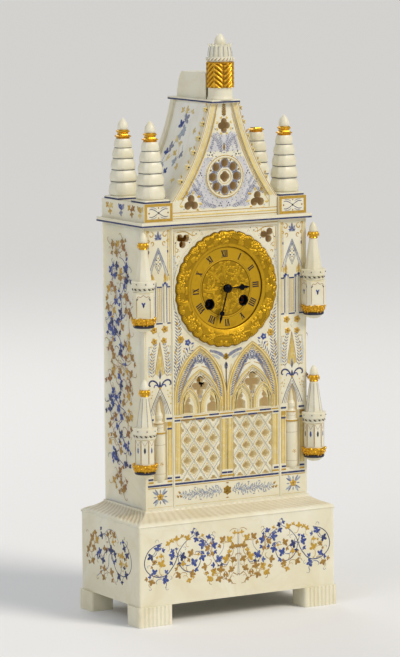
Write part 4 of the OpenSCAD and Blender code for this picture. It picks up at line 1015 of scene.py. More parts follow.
def addPetal(form, angle, radius, foot, tall, wide, curl):
    # an upright leaf with a rib, its tip rolled outwards by curl
    cx, cy = finial["spot"]
    rows, cols, thick = 9, 6, 0.9
    front, back = [], []
    c, s = math.cos(angle), math.sin(angle)
    for j in range(rows + 1):
        t = j / rows
        w = wide * (1 - 0.15 * t) * math.sqrt(max(0.02, 1 - max(0, (t - 0.55) / 0.45) ** 2))
        out = radius - 2.2 * t * t + (curl * ((t - 0.72) / 0.28) ** 2 if t > 0.72 else 0)
        z = foot + tall * t - (0.05 * tall * ((t - 0.85) / 0.15) ** 2 if t > 0.85 else 0)
        for i in range(cols + 1):
            u = i / cols * 2 - 1
            rib = 0.45 * math.exp(-(u / 0.28) ** 2) - 0.5 * u * u
            for side, extra in ((front, rib), (back, rib - thick)):
                r = out + extra
                side.append((cx + r * c - u * w * s, cy + r * s + u * w * c, z))
    n = cols + 1
    faces = []
    total = len(front)
    for j in range(rows):
        for i in range(cols):
            a = j * n + i
            faces.append((a, a + 1, a + n + 1, a + n))
            faces.append((total + a, total + a + n, total + a + n + 1, total + a + 1))
    for j in range(rows):
        a, b = j * n, j * n + cols
        faces.append((a, a + n, total + a + n, total + a))
        faces.append((b, total + b, total + b + n, b + n))
    top = rows * n
    for i in range(cols):
        faces.append((i, total + i, total + i + 1, i + 1))
        faces.append((top + i, top + i + 1, total + top + i + 1, total + top + i))
    addMesh(form, front + back, faces, "alabaster")


def makeCrown():
    form = newForm()
    spot, petals = finial["spot"], finial["petals"]
    core = [(536.6, 12.0), (537.4, 13.0), (541.2, 12.6), (541.8, 10.6), (546, 9.8), (550, 8.6),
            (553, 7.4)]
    addLoft(form, [roundRing(r, z, 48, spot) for z, r in core], "alabaster")
    addRope(form, 2.1, finial["strands"], "alabaster", 12, 264, 0.5)
    addRope(form, 1.5, 0, "umber", 8, 64, 0.0)
    for i in range(petals):
        a = 2 * math.pi * (i + 0.5) / petals
        addPetal(form, a, 11.4, 541.2, 13.2, 2.5, 2.6 if i % 3 else 3.6)
    for i in range(petals):
        a = 2 * math.pi * i / petals
        addPetal(form, a, 10.3, 541.4, 11.6, 2.1, 1.2)
        addCrease(form, spot, a, ((11.9, 542), (11.4, 547), (10.4, 551)), 0.22, 0.25, "lilac")
    bud = [(552, 5.0), (553.4, 5.4), (555.2, 5.5), (557.2, 5.2), (559.0, 4.6), (560.8, 3.6),
           (562.2, 2.4), (563.2, 1.2), (563.7, 0.25)]
    addLoft(form, [roundRing(r, z, 32, spot) for z, r in bud], "alabaster")
    finishForm("finial_crown_carved", form, sharp=50, nodes=("finial_crown",))


makeFinial()
makeCrown()
print("finial ready")


# dial and bezel: how they are turned in the front, their middle's height and their planes
clockFace = {"turn": math.radians(2.5), "height": 318.6, "dialPlane": -37.5, "bezelPlane": -38.0}


def onDial(u, v, h, plane=clockFace["dialPlane"]):
    # u to the right and v up on the dial before it is turned, h out of it
    c, s = math.cos(clockFace["turn"]), math.sin(clockFace["turn"])
    return (u * c - v * s, plane - h, clockFace["height"] + u * s + v * c)


def addShell(form, verts, faces, drop, key):
    # closes a relief by a copy of it pushed back by drop along Y and by walls along its rims
    count = len(verts)
    back = [(x, y + drop, z) for x, y, z in verts]
    seen = {edge: True for face in faces for edge in zip(face, face[1:] + face[:1])}
    walls = [(b, a, count + a, count + b) for a, b in seen if (b, a) not in seen]
    addMesh(form, verts + back, faces + [tuple(count + i for i in f[::-1]) for f in faces] + walls, key)


# bezel: a stamped ring of flowers, leaves and shells with a scalloped edge
bezel = {
    "inner": 40.0, "scallops": 17, "around": 720, "rows": 34,
    # section of the ring: distance from the middle, height
    "section": ((39.9, 0.75), (40.6, 1.25), (42, 1.6), (45, 2.3), (49, 2.9), (52.5, 2.8), (55, 2.1),
                (57, 1.4), (60, 1.2)),
    # flowers: direction from the right, distance from the middle, radius, petals
    "flowers": ((42, 49.0, 5.2, 6), (33, 50.4, 4.0, 5), (51, 50.0, 3.8, 5), (95, 49.6, 4.4, 5),
                (85, 51.2, 3.4, 5), (160, 49.2, 5.0, 6), (169, 50.8, 3.6, 5), (212, 49.8, 4.6, 5),
                (220, 51.0, 3.4, 5), (278, 49.4, 4.8, 6), (287, 51.0, 3.4, 5), (330, 49.4, 5.0, 5),
                (338, 50.6, 3.6, 5), (246, 51.2, 3.0, 5), (308, 51.0, 3.4, 5), (8, 50.6, 3.2, 5),
                (66, 51.4, 3.0, 5), (120, 50.8, 4.2, 6), (130, 51.0, 3.0, 5), (190, 51.0, 3.0, 5)),
}


def flowerHeight(x, y, radius, petals):
    # x, y from the flower's middle
    d = math.hypot(x, y) / radius
    if d >= 1:
        return 0.0
    a = math.atan2(y, x)
    petal = 0.62 + 0.38 * math.cos(petals * a)
    if d < 0.26:
        return 1.5 * math.sqrt(max(0, 1 - (d / 0.26) ** 2 * 0.55))
    return 1.25 * petal * math.sin(math.pi * min(1, (1 - d) * 1.15) ** 0.8) ** 0.7


def spreadLeaves():
    # leaves on the bezel: direction from the right, distance from the middle, way they point, length
    rows = []
    for k, angle in enumerate(range(0, 360, 9)):
        way = 90 * (1 if k % 2 else -1) + 38 * (k % 3 - 1)
        rows.append((angle, 47.6 + 2.6 * math.sin(math.radians(angle * 5)), way, 7.4))
    for shift, far, sweep, length in ((0, 52.2, 74, 5.4), (3, 44.6, 84, 5.6)):
        rows += [(angle + shift, far, sweep * (1 if angle % 2 else -1), length)
                 for angle in range(4, 360, 11)]
    return rows


bezelLeaves = spreadLeaves()


def leafHeight(x, y, angle, length):
    # x, y from the foot of a leaf that points along the angle
    a = math.radians(angle)
    along, across = x * math.cos(a) + y * math.sin(a), -x * math.sin(a) + y * math.cos(a)
    t = along / length
    if not 0 < t < 1:
        return 0.0
    half = length * 0.3 * math.sin(math.pi * t ** 0.8) * (1 + 0.18 * math.cos(22 * t))
    w = abs(across) / max(half, 0.01)
    if w >= 1:
        return 0.0
    vein = 1 - 0.3 * math.exp(-(w / 0.14) ** 2)
    return (0.85 - 0.35 * w * w) * min(1, 4 * t) * vein * (0.9 + 0.1 * math.cos(30 * t - 4 * w))


def edgeShade(proud, tall):
    # painted shade and highlight: how bright a place on a gilt relief is painted, dark round each motif,
    # gilt between and on top
    if proud < 0.04 * tall:
        return 0.5
    return 0.12 if proud < 0.3 * tall else 0.45 + 0.55 * min(1, proud / tall)


def bezelHeight(a, r):
    # relief above the bezel's plane, and its shade
    section = bezel["section"]
    for (r0, h0), (r1, h1) in zip(section, section[1:]):
        if r <= r1:
            base = h0 + (h1 - h0) * max(0.0, (r - r0) / (r1 - r0))
            break
    x, y = r * math.cos(a), r * math.sin(a)
    best = 0.0
    degrees = math.degrees(a) % 360
    for angle, far, radius, petals in bezel["flowers"]:
        fx, fy = polar(far, angle)
        if (x - fx) ** 2 + (y - fy) ** 2 < radius * radius:
            best = max(best, flowerHeight(x - fx, y - fy, radius, petals))
    if best < 0.2:
        for angle, far, way, length in bezelLeaves:
            if abs((degrees - angle + 180) % 360 - 180) < 13:
                fx, fy = polar(far, angle)
                best = max(best, leafHeight(x - fx, y - fy, angle + way, length))
    stem = 0.45 * math.exp(-((r - 47.4 - 3.0 * math.sin(5 * a)) / 0.5) ** 2)
    shell = 0.0
    if r > 52.6:
        fan = (bezel["scallops"] * a / math.pi + 0.15 * math.sin(3 * a)) % 1 - 0.5
        rays = 0.55 + 0.3 * math.cos(2 * math.pi * 5 * fan)
        shell = rays * (1 - 1.6 * fan * fan) * min(1, (r - 52.6) / 1.2)
    grain = 0.16 * noise.noise((x * 1.3, y * 1.3, 3.0))
    fade = min(1, max(0, (r - 42.2) / 1.5))
    proud = max(best, stem, shell)
    return base + fade * (proud + grain), 1 - fade + fade * edgeShade(proud, 0.8)


def bezelEdge(a):
    # scallops that grow and shrink round the ring, fuller at its foot
    scallops = bezel["scallops"]
    big = abs(math.sin(scallops * a + 0.5 * math.sin(3 * a)))
    return 55.5 - 0.55 * math.sin(a) + 1.5 * big ** 0.6 + 0.2 * math.sin(3 * scallops * a)


def makeBezel():
    inner, steps, rows = bezel["inner"], bezel["around"], bezel["rows"]
    verts, faces, relief = [], [], []
    for i in range(steps):
        a = 2 * math.pi * i / steps
        edge = bezelEdge(a)
        for j in range(rows + 1):
            t = j / rows
            r = inner + (edge - inner) * t
            drop = max(0.0, (t - 0.9) / 0.1)
            h, proud = bezelHeight(a, r)
            h = h * (1 - drop ** 2) + 0.4 * drop ** 2
            verts.append((r * math.cos(a), r * math.sin(a), h))
            # painted shade: dark at the bezel's inner edge and darkening towards the scalloped rim
            relief.append(0.0 if j == 0 else proud * (1 - drop))
        # flat back with the rim that sits in the stone's round opening
        for r, h in ((edge - 0.4, 0.06), (45.4, 0.06), (45.4, -3.5), (43.1, -3.5), (43.1, -0.46),
                     (40.1, -0.46)):
            verts.append((r * math.cos(a), r * math.sin(a), h))
            relief.append(0.0)
    n = rows + 7
    for i in range(steps):
        k = (i + 1) % steps
        for j in range(n):
            m = (j + 1) % n
            faces.append((k * n + j, k * n + m, i * n + m, i * n + j))
    form = newForm()
    addMesh(form, [onDial(*p, clockFace["bezelPlane"]) for p in verts], faces, "giltFlat")
    markRelief(finishForm("bezel_stamped", form, 75, ("bezel",)), relief)


makeBezel()
print("bezel ready")


# dial: embossed middle, smooth ring with black Roman numerals, eyelets at the winding holes
dial = {
    "around": 360, "rows": 78, "centre": 3.05, "rim": 42.9, "holes": ((-18.9, -13.9), (18.9, -13.9)),
    # how far up the numerals start and end, and the widths of thick and thin strokes
    "numerals": (30.2, 36.8), "thick": 1.4, "thin": 0.6, "upright": 1.3, "narrowing": 0.88,
    # minute circles: radius
    "circles": (28.4, 38.9),
}


def dialHeight(u, v):
    # relief on the front of the plate, no higher than the hour hand allows, and its shade
    r, a = math.hypot(u, v), math.atan2(v, u)
    if r > 39.6:
        return 0.06, 0.0
    if r > 38.6:
        return 0.06 + 0.2 * math.sin(math.pi * (r - 38.6)), 0.8
    if r > 28.4:
        return 0.06, 0.92
    if r > 27.2:
        return 0.06 + 0.28 * math.sin(math.pi * (r - 27.2) / 1.2), 0.9
    if r > 26.5:
        return 0.04, 0.05
    if r < 6.2:
        return 0.14 + 0.16 * math.cos(12 * a) * min(1, r / 6), 0.6 + 0.3 * math.cos(12 * a)
    sector = (math.degrees(a) - 22.5) % 45 - 22.5
    along, across = r * math.cos(math.radians(sector)), r * math.sin(math.radians(sector))
    even = int(((math.degrees(a) - 22.5) % 360 + 22.5) // 45) % 2 == 0
    proud = 0.0
    if even and 7.4 < along < 24.4:
        t = (along - 7.4) / 17.0
        half = 3.7 * math.sin(math.pi * t ** 1.3) ** 0.7
        w = abs(across) / max(half, 0.05)
        if w < 1:
            groove = 1 - 0.6 * math.exp(-((w - 0.55) / 0.13) ** 2)
            proud = (0.42 - 0.16 * w) * min(1, 5 * (1 - w)) * groove
            proud *= 1 - 0.5 * math.exp(-(w / 0.1) ** 2)
    spots = [(24.2, 4.4, 2.0, 5), (24.2, -4.4, 2.0, 5), (13.6, 3.9, 1.7, 5), (13.6, -3.9, 1.7, 5),
             (19.0, 6.0, 1.8, 6), (19.0, -6.0, 1.8, 6)]
    if not even:
        spots += [(17.6, 0, 4.6, 8), (24.2, 0, 2.0, 5), (10.4, 0, 2.3, 5)]
    for far, side, size, petals in spots:
        x, y = along - far, across - side
        if x * x + y * y < size * size:
            proud = max(proud, 0.4 * flowerHeight(x, y, size, petals))
    vine = 0.36 * math.exp(-((r - 20.8 - 1.8 * math.sin(8 * a)) / 0.42) ** 2)
    proud = max(proud, vine if vine > 0.1 else 0.0)
    grain = 0.05 * noise.noise((u * 2.2, v * 2.2, 0.0))
    return max(0.02, min(0.62, 0.08 + grain + proud)), edgeShade(proud, 0.4)


def addEyelet(form, hu, hv, profile, key, sides=40):
    # a small turned ring round a hole: profile is distance from its middle, height
    spots = [polar(r, 360 * i / sides, hu, hv) + (h,) for r, h in profile for i in range(sides)]
    quads = []
    for j in range(len(profile)):
        m = (j + 1) % len(profile)
        for i in range(sides):
            k = (i + 1) % sides
            quads.append((j * sides + i, m * sides + i, m * sides + k, j * sides + k))
    addMesh(form, [onDial(*p) for p in spots], quads, key)


def makeDial():
    steps, rows, centre = dial["around"], dial["rows"], dial["centre"]
    form = newForm()
    verts, faces, relief = [], [], []
    for j in range(rows + 1):
        r = centre + (dial["rim"] - centre) * j / rows
        for i in range(steps):
            a = 2 * math.pi * i / steps
            u, v = r * math.cos(a), r * math.sin(a)
            h, shade = dialHeight(u, v)
            for hu, hv in dial["holes"]:
                d = math.hypot(u - hu, v - hv)
                if 2.2 < d < 4.9:
                    u, v, h = hu + (u - hu) * 4.9 / d, hv + (v - hv) * 4.9 / d, 0.06
            verts.append((u, v, h))
            relief.append(shade)
    for j in range(rows):
        for i in range(steps):
            k = (i + 1) % steps
            quad = (j * steps + i, j * steps + k, (j + 1) * steps + k, (j + 1) * steps + i)
            middle = [sum(verts[q][c] for q in quad) / 4 for c in (0, 1)]
            if all(math.dist(middle, hole) > 4.6 for hole in dial["holes"]):
                faces.append(quad[::-1])
    addShell(form, [onDial(*p) for p in verts], faces, 0.3, "giltFlat")
    addEyelet(form, 0, 0, ((centre, -0.85), (centre, 0.3), (3.525, 0.45), (4.0, 0.0), (3.8, -0.2)),
              "giltFlat")
    # blued eyelets at the winding holes, run 5.5 mm back: the eyelet itself, lengthened into a dark sleeve
    # that paints the shade inside the holes
    for hu, hv in dial["holes"]:
        addEyelet(form, hu, hv, ((4.15, -5.5), (4.15, 0.3), (4.875, 0.62), (5.35, 0.5), (5.6, 0.0),
                                 (5.0, -0.2), (4.45, -5.5)), "blued")
    return form, relief


def numeralStrokes(text):
    # strokes of a Roman numeral as (x of the foot, x of the top, width), read from inside
    thick, thin = dial["thick"], dial["thin"]
    strokes, x = [], 0.0
    for letter in text:
        if letter == "I":
            strokes.append((x, x, dial["upright"]))
            x += 2.3
        elif letter == "V":
            strokes += [(x + 1.4, x, thick), (x + 1.4, x + 2.8, thin)]
            x += 4.3
        else:
            strokes += [(x + 2.8, x, thick), (x, x + 2.8, thin)]
            x += 4.3
    ends = [x for stroke in strokes for x in stroke[:2]]
    middle = (min(ends) + max(ends)) / 2
    return [((a - middle) * dial["narrowing"], (b - middle) * dial["narrowing"], w) for a, b, w in strokes]


def makeNumerals():
    coat = newCoat("dial_numerals", onDial)
    names = ["XII", "I", "II", "III", "IIII", "V", "VI", "VII", "VIII", "IX", "X", "XI"]
    low, high = dial["numerals"]
    for hour, text in enumerate(names):
        angle = math.radians(90 - 30 * hour)
        c, s = math.cos(angle), math.sin(angle)

        def bar(rows, height):
            addBlock(coat, "enamel", [(r * c + x * s, r * s - x * c) for x, r in rows], height, -0.02)

        strokes = numeralStrokes(text)
        for foot, top, width in strokes:
            w = width / 2
            bar([(foot - w, low), (foot + w, low), (top + w, high), (top - w, high)], 0.14)
        ends = [x for stroke in strokes for x in stroke[:2]]
        left, right = min(ends) - 0.8, max(ends) + 0.8
        for r in (low - 0.15, high - 0.2):
            bar([(left, r), (right, r), (right, r + 0.32), (left, r + 0.32)], 0.13)
    for radius in dial["circles"]:
        for i in range(120):
            ring = [polar(radius + out, 3 * (i + step)) for out,
                    step in ((0, 0), (0.3, 0), (0.3, 1), (0, 1))]
            addBlock(coat, "enamel", ring, 0.12, -0.02)
    return coat


dialForm, dialRelief = makeDial()
addCoat(dialForm, makeNumerals())
markRelief(finishForm("dial_embossed", dialForm, 70), dialRelief)
print("dial ready")


# front: lattice, arches, tracery lines and painted fields
def archSide(cx, half, rise, spring, sill, side, steps=16):
    # up one side of a pointed arch, from its sill to its apex
    r = (rise * rise + half * half) / (2 * half)
    top = math.asin(min(1, rise / r))
    points = [(cx + side * half, sill), (cx + side * half, (sill + spring) / 2), (cx + side * half, spring)]
    for i in range(1, steps + 1):
        a = top * i / steps
        points.append((cx + side * (half - r + r * math.cos(a)), spring + r * math.sin(a)))
    return points


def addFeather(coat, paint, points, reach, gap, slant, width, thin, stem=None, crown=0.12, vein=None):
    # fine leaves of a length reach, set every gap along both sides of a stem, thinner to its tip
    if stem:
        addStroke(coat, stem, points, 0.5, crown, 6, 0.6)
    path = smoothPath(points, 8)
    total = sum((q - p).length for p, q in zip(path, path[1:]))
    walked, due = 0.0, gap * 0.6
    for p, q in zip(path, path[1:]):
        step = (q - p).length
        while step and walked + step >= due:
            spot = p + (q - p) * ((due - walked) / step)
            angle = math.degrees(math.atan2(q.y - p.y, q.x - p.x))
            far = due / total
            size = reach * (1 - thin * far) * min(1, 0.5 + 4 * far)
            for turn in (angle + slant, angle - slant):
                addLeaf(coat, paint, spot.x, spot.y, turn, size, width, crown)
                if vein:
                    addLeaf(coat, vein, spot.x, spot.y, turn, size * 0.9, 0.13, crown * 1.5)
            due += gap
        walked += step
    addLeaf(coat, paint, path[-1].x, path[-1].y, angle, reach * (1 - thin), width, crown)


def addDots(coat, paint, u, v, apart, radius=0.75, count=3, angle=90):
    for k in range(count):
        addDot(coat, paint, *polar(apart, angle + 360 * k / count, u, v), radius, 0.18, 8)


def addLine(coat, paint, points, width=0.6, crown=0.12):
    addStroke(coat, paint, points, width, crown, 0, 0.0)


# crossed bars between two uprights, each with a dark thread along it
lattice = {"middle": 29.5, "left": 7.7, "right": 51.3, "top": 193.5, "across": 7.3, "down": 10,
           "rows": 5.98, "bar": 2.0, "thread": 0.34, "rise": {1: 0.62, -1: 0.66}, "rim": (4.5, 6.2)}


def makeLattice():
    coat = newCoat("front_lattice_bars", onGround, mirror=True)
    across, down, top = lattice["across"], lattice["down"], lattice["top"]
    for slant, rise in lattice["rise"].items():
        for n in range(-15, 16, 2):
            x0 = lattice["middle"] + across * n
            ends = sorted((lattice[side] - x0) / (across * slant) for side in ("left", "right"))
            t0, t1 = max(ends[0], -0.08), min(ends[1], lattice["rows"])
            if t1 - t0 < 0.2:
                continue
            line = [(x0 + across * slant * t, top - down * t) for t in (t0, (t0 + t1) / 2, t1)]
            addLine(coat, "alabaster", line, lattice["bar"], rise)
            addLine(coat, "ink", line, lattice["thread"], rise + 0.05)
    wide, tall = lattice["rim"]
    for i in range(-3, 4):
        for j in range(0, 7):
            x, z = lattice["middle"] + across * i, top - down * j
            if (i - j) % 2 == 0 and 11 < x < 48 and 136 < z < 192:
                rim = [(x, z + tall), (x - wide, z), (x, z - tall), (x + wide, z), (x, z + tall)]
                addLine(coat, "straw", rim, 0.7, 0.25)
    for x in (7.6, 51.4):
        addLine(coat, "straw", [(x, 133.8), (x, 165), (x, 194.2)], 0.6, 0.3)
    finishCoat(coat)


# the middle post, the side posts, the strips beside the niches and their foot and head marks
posts = {
    "foot": 141.5, "head": 191.5,
    # from, to
    "grounds": ((0, 6.4), (51.6, 58.3), (61.4, 66.4), (82.6, 88.2)),
    # place, paint, width
    "lines": ((1.6, "gold", 1.0), (3.4, "straw", 1.1), (5.4, "gold", 1.0), (0, "straw", 1.2),
              (52.2, "gold", 1.0), (54.2, "straw", 1.2), (56.2, "gold", 1.0), (57.9, "umber", 0.6),
              (62, "gold", 1.0), (63.8, "straw", 1.1), (65.6, "gold", 0.9), (83.4, "gold", 1.0),
              (85.4, "straw", 1.1), (87.4, "gold", 0.9)),
    # from u, v to u, v, by paint
    "marks": {
        "navy": ((0.2, 137.6, 6, 139.4), (53, 137.6, 58.4, 139.4), (62, 137.6, 67, 139.4),
                 (82.6, 137.6, 88, 139.4), (0, 131.2, 58.4, 133), (61.6, 131.2, 88.6, 133),
                 (61.6, 185.8, 66.6, 187.6), (82.6, 185.8, 88, 187.6), (61.2, 195.6, 67.4, 197.4),
                 (81.6, 195.6, 88, 197.4)),
        "gold": ((0.2, 134.6, 8, 136.4), (51.2, 134.6, 58.6, 136.4), (61.6, 134.6, 66.8, 136.4),
                 (82.4, 134.6, 88, 136.4), (61.6, 129.6, 88.6, 130.4), (0, 129.6, 58.4, 130.3),
                 (61.6, 189.4, 66.6, 193.4)),
        "umber": ((82.6, 189.4, 88.4, 193.4),),
    },
}


def paintPosts():
    coat = newCoat("front_posts", onFront, mirror=True)
    foot, head = posts["foot"], posts["head"]
    for u0, u1 in posts["grounds"]:
        addBar(coat, "wash", u0, foot, u1, head, 0.05)
    for x, paint, width in posts["lines"]:
        addLine(coat, paint, [(x, foot), (x, 166), (x, head)], width, 0.1)
    for paint, rows in posts["marks"].items():
        for row in rows:
            addBar(coat, paint, *row, 0.12)
    finishCoat(coat)


# broken lines under the arches: paint, low, high, height, stretches
stringCourse = (
    ("navy", 195.8, 197.4, 0.14, ((-49, -38.5), (-20, -9), (8, 21), (37, 50))),
    ("navy", 192.9, 194.5, 0.14, ((-58.6, -52.2), (-35, -24.5), (-6, 6), (24, 34), (52.5, 58.6))),
    ("gold", 195.9, 197.3, 0.1, ((-58.5, -49.6), (-38, -20.6), (-8.4, 7.4), (21.6, 36.4), (50.6, 58.5))),
    ("umber", 193.1, 194.3, 0.1, ((-51.6, -35.6), (-23.9, -6.6), (6.6, 23.4), (34.6, 51.9))),
)


def paintStringCourse():
    coat = newCoat("front_string_course", onFront)
    for paint, low, high, rise, stretches in stringCourse:
        for u0, u1 in stretches:
            addBar(coat, paint, u0, low, u1, high, rise)
    addLine(coat, "straw", [(-58.6, 198.6), (0, 198.6), (58.6, 198.6)], 0.5)
    finishCoat(coat)


# the two arches: middle, and how far the lancets stand from it; lines that follow an arch: on the
# stone's front or its ground, paint, half width, rise, spring, sill, line width, height
arches = {
    "middle": 29.5,
    "lancet": 12,
    "lines": (
        ("front", "gold", 28.9, 50.48, 214, 199.4, 0.9, 0.14),
        ("front", "gold", 27.1, 48.14, 214, 199.4, 0.8, 0.14),
        ("front", "wash", 28.0, 49.3, 214, 199.4, 2.6, 0.07),
        ("front", "wash", 22.9, 36.8, 204, 199.4, 1.8, 0.07),
        ("ground", "straw", 25.8, 46.0, 214, 199.4, 1.6, 0.25),
        ("ground", "wash", 24.5, 44.2, 214, 204, 1.6, 0.08),
        ("front", "gold", 23.55, 37.58, 204, 199.4, 0.8, 0.14),
        ("front", "straw", 22.3, 36.08, 204, 199.4, 0.8, 0.14),
        ("ground", "alabaster", 21.6, 34.6, 204, 199.4, 0.9, 0.4),
        ("ground", "gold", 20.4, 33.0, 204, 199.4, 0.7, 0.3),
        # this pale wash is laid on twice
        ("ground", "wash", 18.8, 30.8, 204, 200, 1.8, 0.06),
        ("ground", "wash", 18.8, 30.8, 204, 200, 1.8, 0.06)),
    "lancetLines": (
        ("front", "gold", 11.2, 19.4, 205, 199.4, 0.75, 0.14),
        ("front", "wash", 10.5, 18.4, 205, 199.4, 1.2, 0.06),
        ("ground", "alabaster", 9.9, 17.4, 205, 199.4, 0.8, 0.4),
        ("ground", "straw", 8.9, 15.8, 205, 199.4, 1.1, 0.25),
        ("ground", "wash", 7.7, 13.8, 205, 199.6, 1.3, 0.06),
        ("ground", "wash", 6.4, 11.8, 205, 199.6, 1.3, 0.06)),
    # lozenge in the head: how much larger, paint, line width, height
    "lozenge": ((0, "alabaster", 1.0, 0.45), (0.95, "gold", 0.5, 0.3)),
}


def makeTracery():
    # gilt lines on the carved ribs, their mouldings and the painted leaves between them
    coats = {"front": newCoat("front_arch_lines", onFront, mirror=True),
             "ground": newCoat("front_arch_leaves", onGround, mirror=True)}
    ground = coats["ground"]
    cx, apart = arches["middle"], arches["lancet"]
    for rows, middles in ((arches["lines"], (cx,)), (arches["lancetLines"], (cx - apart, cx + apart))):
        for plane, paint, half, rise, spring, sill, width, crown in rows:
            for middle in middles:
                for side in (-1, 1):
                    addLine(coats[plane], paint, archSide(middle, half, rise, spring, sill, side), width,
                            crown)
    for shift, paint, width, crown in arches["lozenge"]:
        top, right = (cx, 237.6 + shift), (cx + 9.9 + shift, 226.4)
        left, foot = (cx - 9.9 - shift, 226.4), (cx, 209.6 - shift)
        addLine(ground, paint, [top, left, foot, right, top], width, crown)
    # gilt stems with lilac leaves inside the main arches
    for points in (((27.4, 258), (20, 247), (13.5, 236), (9.6, 226), (7.4, 214)),
                   ((31.6, 258), (39, 247), (45.5, 236), (49.6, 226), (51.6, 214))):
        addFeather(ground, "lilac", points, 7.6, 2.5, 38, 0.28, 0.2, "gold", 0.2, "navy")
    for points in (((29.5, 246), (26, 250), (21, 248.6), (17, 243)),
                   ((29.5, 246), (33, 250), (38, 248.6), (42, 243)),
                   ((29.5, 246), (29.5, 251), (29.5, 256.5))):
        addFeather(ground, "lilac", points, 5.8, 2.2, 42, 0.3, 0.3, None, 0.2, "navy")
    for u, v, a in ((29.5, 253, 90), (26.5, 249.6, 150), (32.5, 249.6, 30), (24, 246, 200), (35, 246, -20)):
        addLeaf(ground, "blue", u, v, a, 3.4, 0.5, 0.26)
    for s in (-1, 1):
        inner = ((2, 244.5), (10, 241), (17, 232), (21, 220))
        outer = ((2, 262), (9, 253), (17, 240), (23.4, 222))
        addStroke(ground, "gold", [(cx + u * s, v) for u, v in inner], 1.0)
        addStroke(ground, "straw", [(cx + u * s, v) for u, v in outer], 0.8)
        addDots(ground, "umber", cx + 4.4 * s, 233.6, 1.2)
        for d, v in ((1.6, 213), (2.56, 205)):
            addLeaf(ground, "lilac", cx + d * s, v, 90, 4, 0.4, 0.15)
    addLine(ground, "umber", [(cx, 199.6), (cx, 203), (cx, 207.6)], 0.7)
    # the trunk of gilt lines between the two arches
    for x, paint, width in ((0.0, "gold", 1.4), (1.7, "straw", 1.0), (3.2, "gold", 0.9)):
        trunk = [(x * far, v) for far, v in ((1, 199.4), (1, 212), (1.2, 224), (2.4, 236), (3.6, 244.5))]
        addLine(ground, paint, trunk, width, 0.3)
    # the leaves and the flower under the bezel
    addFeather(ground, "lilac", ((1.5, 251.5), (6, 254.6), (11.5, 257), (16.4, 258.4)), 3.6, 1.4, 34, 0.5,
               0.3,
               "lilac", 0.2)
    addFeather(ground, "paleBlue", ((6, 249.6), (10.6, 252.6), (15, 254)), 2.8, 1.5, 36, 0.5, 0.3, None,
               0.18)
    addLeaf(ground, "lilac", 0, 247.4, 270, 9.4, 0.5, 0.35)
    addLeaf(ground, "navy", 0, 247, 270, 6.4, 0.3, 0.5)
    addFlower(ground, "gold", "umber", 0, 252, 3.8, 6, 90, 0.35)
    # spandrels beside the bezel
    for points in (((57, 236), (55, 249), (53.6, 262), (53, 276), (54, 298)),
                   ((57.6, 222), (55.6, 233), (51, 244), (45, 254), (39, 262))):
        addFeather(ground, "lilac", points, 6.6, 3.1, 44, 0.26, 0.15, "straw", 0.16, "navy")
    addFeather(ground, "paleBlue", ((57.6, 300), (57, 318), (56.6, 336), (57, 352)), 2.6, 1.5, 40, 0.45,
               0.2,
               None, 0.14)
    addFlower(ground, "gold", "umber", 50.5, 272, 4.4, 6, 60, 0.4)
    for u, v, a in ((55, 286, 100), (51, 281, 60), (56.4, 262, 280), (47.6, 262, 250), (55.6, 252, 280),
                    (52.6, 244, 240)):
        addLeaf(ground, "gold", u, v, a, 4.2, 0.5, 0.3)
        addDot(ground, "umber", u - 1.2, v + 1, 0.8, 0.3, 8)
    addDots(ground, "navy", 50.5, 272, 1.5, 0.5, 6)
    addFlower(ground, "blue", "paleBlue", 42.6, 268.5, 3.8, 5, 40, 0.35)
    addLeaf(ground, "blue", 45, 264, 240, 4, 0.5, 0.3)
    addLeaf(ground, "blue", 39.4, 266.5, 160, 4.4, 0.5, 0.3)
    finishCoat(coats["front"])
    finishCoat(ground)


def paintHead():
    # gilt and blue work round the two trefoils above the dial
    coat = newCoat("front_head_work", onGround, mirror=True)
    for points in (((57.4, 353), (57.2, 364), (57, 375)), ((36, 371), (44, 375.4), (54, 375.4))):
        addStroke(coat, "gold", points, 1.0, 0.2)
    addStroke(coat, "straw", [(55.4, 352), (55.2, 362), (53, 372)], 0.8, 0.15)
    for u, v, r, a, sweep in ((35, 374, 3.0, 200, 300), (41.5, 372.6, 2.0, 0, -280),
                              (54.4, 357.6, 2.6, 60, 300),
                              (52.6, 351.4, 1.8, 180, -260), (56, 346, 1.5, 90, 240)):
        addCurl(coat, "gold", u, v, r, a, sweep, 0.8)
    for u, v, a in ((28.4, 374.8, 100), (31, 372.6, 20), (41, 365.4, 200), (54.8, 366.5, 300),
                    (53.6, 345, 280)):
        addLeaf(coat, "navy", u, v, a, 2.6, 0.45, 0.2)
    for u, v in ((26, 373), (38.6, 368), (52, 358), (57, 341)):
        addDots(coat, "umber", u, v, 1.0, 0.45)
    finishCoat(coat)
    band = newCoat("front_head_lines", onFront)
    addLine(band, "gold", [(-58.6, 379.8), (0, 379.8), (58.6, 379.8)], 0.9)
    addLine(band, "umber", [(-58.6, 377.2), (0, 377.2), (58.6, 377.2)], 0.4)
    finishCoat(band)


# a pilaster: its middle, and where the spire and the fleur under it stand
pilaster = {"middle": 75, "spire": 74.2, "fleur": 74.3, "shafts": (66.0, 78.4)}


